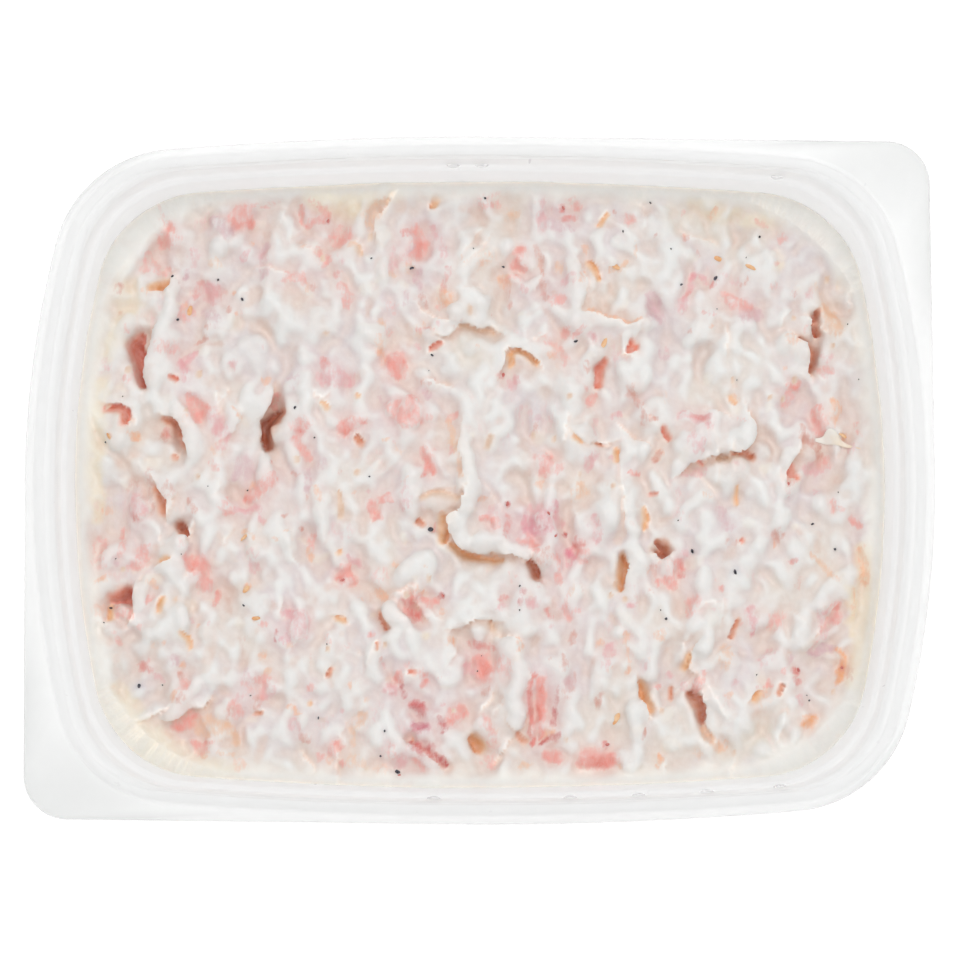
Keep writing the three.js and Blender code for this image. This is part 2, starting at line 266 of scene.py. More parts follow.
def ringSkin(rings):
    count = len(rings[0])
    vertices = np.vstack(rings)
    faces = []
    for row in range(len(rings) - 1):
        for i in range(count):
            j = (i + 1) % count
            a, b = row * count, (row + 1) * count
            faces.append((a + i, b + i, b + j, a + j))
    return vertices, faces


# the tub: flange, sealing bead, peel tabs, ledge, wall and foot

tubShape = {
    "flangeCorner": 14.8, "beadInset": 1.7, "beadHalf": 0.75, "beadSteps": 8, "beadFullness": 0.8,
    "tabCorner": 5.2, "tabInsetX": 0.25, "tabInsetY": 0.6,
    "mouth": [(0.22, 0.5, 0.5), (0.08, 0.65, 0.2), (-0.15, 0.8, 0.05)],  # inset, tighter corner, drop
    "lip": [(0.62, 0.02), (0.5, 0.08)],  # inset, drop
    "edge": [(0.3, 0.08), (0.12, 0.13), (0.03, 0.22), (0.0, 0.35)],
    "edgeFoot": [(0.04, -0.05), (0.12, 0)], "underside": [(0.3, 0), (0.05, 0.2)],  # drops from the underside
}
lugs = {
    "front": [-5.5, 10.7, 18.8, 26.9, 35.6], "back": [-3.2, 0.2, 35.8],
    "size": (0.9, 0.45, 0.4), "rise": 0.3, "inset": 0.4, "clear": 0.9,
    "uneven": 0.0, "bumps": 900.0, "seed": 1,
}


def tabQuarter(halfX, halfY, inset):
    radius = tubShape["tabCorner"] - inset
    cornerX = plan["length"] / 2 - tubShape["tabInsetX"] - tubShape["tabCorner"]
    cornerY = plan["width"] / 2 - tubShape["tabInsetY"] - tubShape["tabCorner"]
    shares = (np.arange(plan["sideSteps"]) / plan["sideSteps"])[:, None]
    side = np.array([halfX, 0]) * (1 - shares) + np.array([cornerX + radius, cornerY]) * shares
    top = np.array([cornerX, cornerY + radius]) * (1 - shares) + np.array([0, halfY]) * shares
    turned = arcPoints(cornerX, cornerY, radius, 0, math.pi / 2, plan["cornerSteps"])
    return np.vstack([side, turned, top])


def tabbedRing(inset, z):
    halfX, halfY = plan["length"] / 2 - inset, plan["width"] / 2 - inset
    plain = bowedQuarter(halfX, halfY, tubShape["flangeCorner"] - inset)
    outline = closedOutline(tabQuarter(halfX, halfY, inset), plain, halfY)
    return np.column_stack([outline, np.full(len(outline), z)])


def flangeRing(inset, z):
    halfX, halfY = plan["length"] / 2 - inset, plan["width"] / 2 - inset
    return bowedRing(halfX, halfY, tubShape["flangeCorner"] - inset, z)


def tubRings():
    bead, half = tubShape["beadInset"], tubShape["beadHalf"]
    rise = plan["height"] - flangeTop
    corner = plan["cavityCorner"]
    below = flangeTop - plan["wall"]
    inner = cavityRings(0.0)[::-1]
    mouth = [cavityRing(inset, corner - less, flangeTop - drop) for inset, less, drop in tubShape["mouth"]]
    beadRings = []
    for i in range(tubShape["beadSteps"] + 1):
        angle = math.pi * i / tubShape["beadSteps"]
        height = flangeTop + rise * math.sin(angle) ** tubShape["beadFullness"]
        beadRings.append(flangeRing(bead + half * math.cos(angle), min(height, plan["height"])))
    lip = [flangeRing(inset, flangeTop - drop) for inset, drop in tubShape["lip"]]
    edge = [tabbedRing(inset, flangeTop - drop) for inset, drop in tubShape["edge"]]
    edge += [tabbedRing(inset, below - drop) for inset, drop in tubShape["edgeFoot"]]
    under = [cavityRing(-plan["wall"] - out, corner, below - drop) for out, drop in tubShape["underside"]]
    return inner + mouth + beadRings + lip + edge + under + cavityRings(plan["wall"])[1:]


def tubMaterial():
    paint = Paint("clearPolypropylene")
    haze = paint.noise(9, 3)
    drawn = paint.noise(1.6, 2, (1, 1, 0.12))  # faint streaks where the sheet was drawn down
    waves = paint.noise(14, 2)
    grain = paint.noise(0.25, 2)
    # painted shade: the same plastic takes a much darker tint on the peel tabs and a slightly different one
    # on the flange
    wall = paint.blend(haze, linear(215, 215, 215), linear(218, 218, 218))
    tint = paint.blend(paint.attribute("onFlange"), wall, linear(215, 216, 216))
    tint = paint.blend(paint.attribute("onTab"), tint, linear(193, 195, 194))
    outside = paint.attribute("outside")  # the milky look sits in the inner skin
    height = waves * 0.7 + drawn * 0.2 + grain * 0.04
    return paint.finish(**{
        "Base Color": tint,
        "Roughness": 0.24 + drawn * 0.14,
        "Alpha": (0.5 + haze * 0.1) * (1 - outside * 0.75),
        "IOR": 1.49,
        "Subsurface Weight": 1.0,
        "Subsurface Radius": (1.0, 1.0, 1.0),
        "Subsurface Scale": 1.6 * mm,
        "Normal": paint.bump(height, 0.12, 0.6),
    })


def addCap(vertices, faces, start, count, z, up):
    middle = len(vertices)
    vertices = np.vstack([vertices, [[0, 0, z]]])
    for i in range(count):
        j = (i + 1) % count
        faces.append((middle, start + i, start + j) if up else (middle, start + j, start + i))
    return vertices, faces


def beyondFlange(x, y):  # how far a point lies outside the bowed outline, as on the tabs
    halfX = plan["length"] / 2 - y ** 2 / (2 * plan["shortSideRadius"])
    halfY = plan["width"] / 2 - x ** 2 / (2 * plan["longSideRadius"])
    corner = tubShape["flangeCorner"]
    outX, outY = np.abs(x) - halfX + corner, np.abs(y) - halfY + corner
    return np.hypot(np.maximum(outX, 0), np.maximum(outY, 0)) - corner


def addMark(piece, label, shares):  # one value for each point, for the shader
    layer = piece.data.attributes.new(label, "FLOAT", "POINT")
    layer.data.foreach_set("value", shares.astype(np.float32))


def makeTub():
    rings = tubRings()
    count, bottom = len(rings[0]), (len(rings) - 1) * len(rings[0])
    vertices, faces = ringSkin(rings)
    faces = [face[::-1] for face in faces]
    vertices, faces = addCap(vertices, faces, 0, count, rings[0][0][2], True)
    vertices, faces = addCap(vertices, faces, bottom, count, rings[-1][0][2], False)
    piece = meshPiece("tubShell", vertices, faces, tubMaterial())
    x, y, z = np.array(vertices).T
    # the outer skin starts at the lower corner of the flange's edge
    outerRings = len(cavityRings(0)) - 1 + len(tubShape["underside"]) + len(tubShape["edgeFoot"])
    addMark(piece, "onTab", smoothStep(0.2, 2.5, beyondFlange(x, y)))
    addMark(piece, "onFlange", smoothStep(flangeTop - 1.4, flangeTop - 0.6, z))
    addMark(piece, "outside", 1.0 * (np.arange(len(x)) >= count * (len(rings) - outerRings)))
    solid = bmesh.new()
    solid.from_mesh(piece.data)
    bmesh.ops.recalc_face_normals(solid, faces=solid.faces)
    solid.to_mesh(piece.data)
    solid.free()
    return piece


tub = makeTub()
print("tub ready")


# the spread: the relief of its top, and what shows in it

def drawFrom(seed):
    span = 2 ** 32
    while True:
        seed = (seed * 1664525 + 1013904223) % span
        yield seed / span


spreadShape = {
    "level": 25.2, "intoWall": 0.08, "step": 0.275, "wallClimb": 0.7, "climbReach": 1.3,
    "filmClimb": 0.9, "filmReach": 0.8, "filmGap": 0.35, "sideStep": 1.0, "sideCoarser": 4,
    "edgeSmoothing": 25, "routeSmoothing": 9, "toneSmoothing": 21, "edgeLineShade": (0.92, 0.92, 0.9),
    "pastEdge": 0.05, "hamRise": 0.15, "hamStart": (0.45, 0.8),
    "edgeRows": (0.12, 0.5), "firstDrop": 0.6, "lastGap": 0.5,
    "lumpCount": 150, "lumpSmallest": 2.0, "lumpLargest": 4.2, "lumpRise": 0.55, "lumpSeed": 5,
}
folds = [  # route, half width, rise
    ([-37.6, 23, -38.6, 18.5, -39.2, 13, -41.5, 9.6], 1.1, 1.2),
    ([-36, 8, -33.2, -1.5, -37, -10.5, -38.6, -17.8], 1.3, 1.3),
    ([-33.4, -17.5, -33.2, -23, -37.2, -28], 1.0, 1.1), ([-25.4, 22, -22.6, 18.5, -20.8, 11.5], 1.2, 0.9),
    ([-11.6, 36, -12.6, 27.5, -10.8, 24], 1.0, 0.9), ([-5.2, 18.2, -3, 21, 0.4, 22.2], 1.2, 1.3),
    ([11.4, 28, 12, 20.4, 19.8, 19.6], 1.3, 1.2), ([13.2, 15.4, 9.8, 8.6, 10.4, 5.4], 1.4, 1.2),
    ([-2.4, 9.4, -1.2, -3], 1.3, 1.1), ([-3, -5, -1.4, -6.8, 2.2, -7.6, 7.4, -8.8], 1.2, 1.5),
    ([17.8, 4.6, 18.4, -4.6, 20.6, -12.6], 0.9, 1.1), ([21.4, 9.6, 26, 6, 31.8, 5.6], 1.7, 1.4),
    ([28.4, -15.6, 26.6, -21.2], 1.3, 1.2), ([16.6, -18.6, 18.8, -30.4], 0.9, 0.8),
    ([0.4, -10.4, 4.6, -21, 4.4, -29], 1.0, 1.0), ([-14.6, -15, -12, -26], 1.0, 0.9),
    ([-12.2, -31.6, -6, -34.9], 1.8, 1.4),
]
hollows = [  # route, half width, depth
    ([-24.6, 9.2, -26.1, 7.2, -25.8, 4.9], 1.0, -3.0), ([-42, 16.8, -40.6, 11.6], 0.8, -1.8),
    ([-36.6, 7.4, -35.9, 4.6], 0.9, -1.0), ([-36, -5.2, -35.8, -6.1], 0.7, -2.0),
    ([-44.2, -14.6, -41.9, -13.9], 0.9, -2.0), ([-2.6, 19.2, 1.8, 18.4], 0.8, -0.8),
    ([14.8, 14.6, 14.4, 12.4], 0.8, -0.8), ([29.2, 3.3, 33, 3.9], 0.8, -1.0),
    ([40.6, 20.4, 40.9, 18.2, 40.2, 14.9], 0.8, -2.4),
    ([-6.2, -4.4, -4.3, -5.6, -2.2, -8.2, 2.4, -9], 1.0, -1.2), ([6.3, -9.6, 6.9, -11.2], 0.8, -1.5),
    ([-12, -15.6, -11.2, -17.5], 0.7, -1.3), ([-8.2, -31, -4, -33.9], 0.8, -1.1),
    ([-0.3, -31.2, -0.1, -31.3], 1.1, -1.4), ([17.2, -8.8, 17.2, -12], 0.9, -1.5),
    ([21.5, -7.8, 22.3, -8.2], 1.0, -2.0), ([25.7, -25.4, 27.2, -30.4], 0.9, -1.5),
    ([19.5, -24.2, 20.5, -27.3], 0.9, -1.2),
]
# flaps: a sheet of cream that ends in a crisp lip; its high side lies left of the route's direction
flaps = [  # route, lip height, reach of the high side, reach of the shadowed side
    ([-39.4, 18.6, -39.6, 16.8, -40.1, 15, -40.3, 12], 1.2, 1.7, 1.3),
    ([-38.6, 8.6, -36.5, 8.3, -35.7, 6.6, -35.2, 5, -35, 3.6], 1.1, 1.8, 1.2),
    ([-45.6, 9.9, -43.4, 9.7, -42.2, 9, -41.8, 7.8], 0.6, 1.4, 1.0),
    ([-39.4, 0.8, -38.4, -0.8, -37.6, -2.6, -37.8, -4.4], 0.8, 1.6, 1.3),
    ([-37.6, 25.4, -37.3, 24.2, -38.2, 23.4], 0.5, 1.2, 0.9),
    ([-26.5, 4, -27, 6.4, -27.1, 7.9, -26.3, 9.3, -25.4, 10.2, -25.2, 11.6], 1.2, 1.5, 1.4),
    ([-10.3, 35.4, -11.2, 33.8, -12.5, 33, -12.8, 31.5, -12.2, 29.8], 0.7, 1.8, 1.5),
    ([-5.3, 18.4, -4, 18.1, -3.2, 18.9, -2.2, 19.8, -1, 19.7, 0.4, 19.3, 1.6, 19.5, 2.4, 18.6], 1.0, 1.7,
      1.0), ([2.5, 14, 2.9, 16, 3.6, 16.8, 5, 16.6, 6.2, 16.1, 7.4, 14.6], 1.0, 1.6, 1.2),
    ([20, 19.8, 17.6, 19.2, 16.9, 19.8, 15.3, 20.1, 14.6, 20.5, 12.8, 20.7], 0.8, 2.2, 0.9),
    ([17.3, 18.2, 17.3, 16.2, 18, 15.6], 0.6, 1.0, 1.0),
    ([11.2, 6.3, 12.6, 5.3, 13.1, 5, 14, 5.3, 15, 5, 16.8, 5.6], 0.6, 1.5, 0.8),
    ([24, 1.2, 25.2, 2.5, 27, 3.3, 28.6, 3.5, 30.2, 4, 31.6, 4.3, 32.6, 5.2, 33, 6.6, 32.6, 8.2], 1.3, 2.6,
      1.2), ([36.8, -0.4, 37, 1.5, 37.4, 2.6, 38.6, 4, 38.9, 5.6], 0.9, 1.5, 1.2),
    ([40.1, 12.8, 39.5, 14.4, 39.4, 15.8, 38.9, 17.2, 38, 18.1], 1.1, 1.4, 1.2),
    ([-7.8, -1.8, -6.8, -0.7, -5.6, -0.3, -4, -0.4, -2.4, -0.5, -1.8, -1.8], 0.3, 1.6, 1.4),
    ([-1.9, -1.6, -2, -3.1, -3.7, -3.9, -3.4, -5.2, -3.1, -6.5, -1.3, -7.9, 0.8, -8.2, 3.8, -8.4, 5, -9.1],
      1.4, 2.4, 1.2), ([4.9, -8.9, 6.2, -9.2, 7.1, -9.6, 7.3, -11], 0.7, 1.4, 1.0),
    ([17.6, -8.2, 18.4, -9.6, 18.2, -10.9, 17.5, -12], 0.8, 1.4, 1.0),
    ([23.4, -8.2, 22.5, -9.2, 21.6, -8.9, 20.8, -8.2], 0.9, 1.4, 1.1),
    ([-36, -7, -35, -6, -34.6, -4.6], 0.7, 1.3, 1.0), ([-37, -9, -37.8, -9.9, -39, -10.1], 0.6, 1.6, 0.8),
    ([-41.3, -12.2, -41.3, -14.2, -41.5, -15.6, -42.4, -17], 0.9, 1.6, 1.2),
    ([-38.2, -28.4, -36.4, -28.2, -35.5, -27.4, -34.5, -26.9, -33.2, -26.9, -32.5, -25.8], 1.0, 2.4, 1.1),
    ([-7.9, -12.4, -7.8, -14, -7.1, -14.9, -6.4, -16.2], 0.9, 1.4, 1.0),
    ([-3.6, -17.6, -2.3, -17.2, -1, -16.4, 0.3, -16.2, 2.4, -16.5], 0.8, 2.0, 0.9),
    ([-4.3, -34.8, -5.6, -33.7, -7, -32.3, -9.4, -30.9], 0.8, 1.4, 1.0),
    ([3.2, -28.4, 4, -29.5, 5, -29.4, 5.3, -28], 0.6, 1.5, 0.9),
    ([20.2, -28.4, 19.2, -25.8, 18.8, -23.4], 0.9, 1.5, 1.1),
    ([26, -19.6, 25.1, -21.9, 26, -22.8], 1.0, 1.8, 1.0),
    ([27.1, -25.4, 27.5, -27, 27.3, -28.8, 28.1, -30.6], 0.8, 1.4, 1.1),
    ([32.3, -26.3, 33, -25.2, 34.2, -24.6], 0.6, 1.4, 1.0),
    ([-17.8, -15.7, -16.2, -15.7, -15.6, -16.6], 0.4, 1.0, 0.8),
    ([-19.9, 10.9, -19.3, 10.4, -18.4, 11], 0.4, 1.0, 0.8),
    ([-2, 7.8, -2.6, 5, -1.9, 2.6, -1.6, 0.4], 0.5, 1.4, 0.9),
    ([17, 5, 17, 2.4, 17.1, 0, 17.5, -3, 17.7, -6], 0.5, 1.4, 0.9),
    ([12.4, 21.6, 12.8, 24.6, 11.6, 27.6], 0.5, 1.4, 0.9),
]
# gouges: hollows in the cream, steep on the side of their lip, with painted shade that is darkest there
gouges = [  # depth, direction of the lip in degrees, tone, then x, y, half width along the middle line
    (2.2, 10, "red", -41, 18, 0.6, -41.9, 16.5, 1, -41.1, 15.4, 1, -40.9, 14, 0.7, -40.7, 12, 0.5),
    (1.4, -30, "amber", -39.8, 24, 0.5, -38.1, 24.3, 0.75),
    (1.2, 60, "red", -37.5, 13.2, 0.4, -36.8, 12.9, 0.4),
    (1.2, 50, "red", -45, 9.1, 0.5, -43.6, 9.2, 0.6, -42.6, 8.7, 0.7, -42.9, 7.2, 0.5),
    (1.3, 40, "brick", -38.2, 7.9, 0.5, -37, 7.4, 0.9, -36.2, 6.2, 0.7, -35.7, 4.9, 0.5),
    (0.6, 40, "brick", -36.9, 3.4, 0.55),
    (2.8, 160, "brick", -24.3, 8.7, 0.8, -25.7, 7.2, 1.2, -26, 6, 0.8, -25.9, 4.8, 0.6),
    (0.9, 20, "brick", -39.2, -0.6, 0.5, -38.4, -2.2, 0.7, -38.2, -3.4, 0.6),
    (2.4, -30, "brick", -36.1, -5.1, 0.6, -35.7, -5.8, 0.7),
    (0.8, -60, "amber", -38.4, -9.5, 0.3, -37.6, -9.2, 0.4),
    (1.9, -20, "red", -44.1, -13.8, 0.8, -42.7, -13.5, 1.2, -41.9, -14.1, 0.6),
    (0.8, 150, "amber", -44.7, -14.9, 0.4, -44.5, -16.3, 0.5),
    (0.7, 150, "amber", -38.2, -14, 0.5, -38.6, -15.2, 0.4),
    (2.3, 220, "brick", 40.9, 21, 0.4, 40.5, 19.8, 0.6, 40.9, 18.4, 0.6),
    (2.3, 170, "brick", 38.6, 17.8, 0.3, 39.5, 17.2, 0.5, 40.1, 16, 0.7, 40, 14.4, 0.6, 39.9, 13.6, 0.3),
    (1.3, 215, "amber", -5.5, 34.6, 0.6, -5.7, 33.9, 0.5),
    (1.3, 120, "red", -4.9, 17.2, 0.4, -5.5, 16.8, 0.45, -6.1, 16.5, 0.3),
    (0.9, 95, "brown", -2.5, 19.4, 0.3, -1.5, 19.3, 0.5, -0.3, 18.9, 0.3),
    (0.8, 80, "brown", 0.4, 18.9, 0.4, 1.5, 18.6, 0.5), (0.8, 90, "amber", 15.3, 32.9, 0.4, 14.5, 31.6, 0.4),
    (1.1, 60, "amber", 13.3, 27, 0.5, 13.9, 26.2, 0.5, 14.3, 25.2, 0.4),
    (1.4, 200, "red", 18.3, 17.1, 0.5, 17.9, 16.2, 0.5, 18.9, 16.5, 0.4),
    (1.0, 160, "red", 15, 15, 0.5, 14.4, 14.2, 0.7, 14.5, 13.2, 0.5, 14.3, 12.3, 0.6),
    (1.2, 90, "amber", 3.8, 14.6, 0.4, 3.7, 15.8, 0.5, 4.4, 16.3, 0.4, 5.6, 15.8, 0.45, 6.8, 14.9, 0.4),
    (0.5, 90, "brown", 1.3, 5.8, 0.5, 1, 4.6, 0.5), (1.0, 90, "brick", 14.1, 5, 0.3, 14.7, 4.8, 0.3),
    (0.7, 50, "amber", 11.5, 5.6, 0.35, 12.3, 5.1, 0.3), (0.6, 0, "amber", 16.4, 4.2, 0.4, 16.5, 3, 0.5),
    (1.0, 200, "red", 22.2, 6.6, 0.45, 22.7, 5.4, 0.4), (1.0, 90, "red", 20.6, -1.2, 0.35, 21.2, -1.1, 0.35),
    (0.8, 20, "amber", 19.8, -3, 0.3, 20.2, -4.2, 0.55, 19.9, -5.3, 0.35),
    (0.9, -70, "amber", 30.3, 10.6, 0.35, 30.7, 9.8, 0.45),
    (1.4, 120, "brick", 30.8, 3.7, 0.3, 32.2, 3.7, 0.6, 32.9, 3.2, 0.5),
    (0.9, 120, "brown", 28.9, 3, 0.4, 30, 2.9, 0.5), (0.9, 60, "red", 26.4, 2.9, 0.3, 26.8, 2.5, 0.3),
    (0.9, 170, "red", 37.7, 2.2, 0.4, 37.5, 1.2, 0.6, 38.2, 0.8, 0.4), (1.2, 200, "red", 31.6, -6.9, 0.45),
    (0.5, 0, "amber", 31, -0.3, 0.3, 31, -1.5, 0.35, 31.2, -2.3, 0.35),
    (1.3, 120, "brick", -7.5, -4.4, 0.45, -7, -4.9, 0.4),
    (1.7, 10, "amber", -4.4, -4.2, 0.7, -4.2, -5.6, 0.8, -4.5, -6.8, 0.6),
    (1.0, 70, "amber", -3.4, -7.4, 0.6, -2, -8.4, 0.55, -0.2, -8.9, 0.5, 1.5, -9.1, 0.4, 2.8, -9.2, 0.3),
    (0.7, 90, "brown", -6.9, -1.5, 0.4, -5.9, -1.1, 0.5, -4.6, -1.1, 0.5, -2.8, -1.8, 0.5),
    (1.8, 60, "brick", 6, -9.4, 0.4, 6.7, -10, 0.6, 6.9, -11.2, 0.5),
    (1.9, 0, "amber", 17.3, -8.8, 0.5, 17.4, -10, 0.85, 17.1, -11.4, 0.6, 17, -12.6, 0.45),
    (2.3, 250, "brick", 21.4, -7, 0.4, 22.2, -7.5, 0.8, 22.4, -8.4, 0.6, 21.5, -8.2, 0.4),
    (1.4, 225, "brick", -12, -15.7, 0.35, -11.6, -16.6, 0.45, -11.2, -17.4, 0.45),
    (1.0, 150, "brick", -12.4, -19.4, 0.3, -12.5, -20, 0.3),
    (0.6, 60, "amber", -17.2, -16.1, 0.4, -16.3, -16.3, 0.5),
    (1.0, 160, "red", -8.5, -22.5, 0.4, -8, -22.7, 0.4),
    (1.4, 150, "brick", -17.9, -22.2, 0.3, -18.2, -23, 0.45),
    (1.1, 120, "brick", -26.9, -27.5, 0.4, -26.5, -27.6, 0.35),
    (1.7, 200, "amber", -0.9, -30.9, 0.8, -0.2, -31.6, 0.9),
    (0.8, 90, "brown", 1.2, -16.7, 0.4, 1.6, -17.4, 0.4),
    (0.7, 120, "brick", 4.6, -30.2, 0.45, 5.3, -30.9, 0.5),
    (1.0, 180, "amber", 19.4, -24, 0.45, 19.8, -25.6, 0.75, 20.3, -27.2, 0.6),
    (1.1, 0, "brick", 23.1, -24.6, 0.35, 23.1, -25.8, 0.35),
    (1.3, 200, "brick", 31.1, -16.6, 0.35, 30.5, -17.6, 0.5, 30.3, -18.5, 0.35),
    (2.0, 30, "brick", 25.3, -25.3, 0.45, 26.1, -26.1, 0.95, 26.6, -27.2, 0.7, 26.8, -28.4, 0.45),
    (0.7, 130, "amber", 33.5, -25.2, 0.5, 33, -26, 0.5),
    (1.3, 30, "brick", 36.3, -24.4, 0.5, 36, -25.2, 0.45),
    (0.8, 0, "amber", 25.3, -20.8, 0.4, 24.8, -22, 0.5), (1.3, 100, "brick", -14.9, 5.7, 0.5, -14.5, 5, 0.5),
    (0.5, 90, "amber", -14.7, 10.8, 0.4), (0.6, 100, "amber", -19.2, 9.9, 0.35, -18.6, 9.3, 0.45),
    (0.6, 60, "brown", -14.8, 28.9, 0.5, -14.4, 28.1, 0.4), (0.6, 90, "amber", -17, -8.3, 0.45),
    (0.5, 30, "amber", -35.8, -18, 0.35, -35, -18.8, 0.45, -34.8, -19.8, 0.35),
    (0.5, 90, "brown", -17.1, -1, 0.3, -16.8, -2.8, 0.5, -16.8, -4, 0.4),
    (0.5, 0, "amber", -20.3, -26.5, 0.4),
]
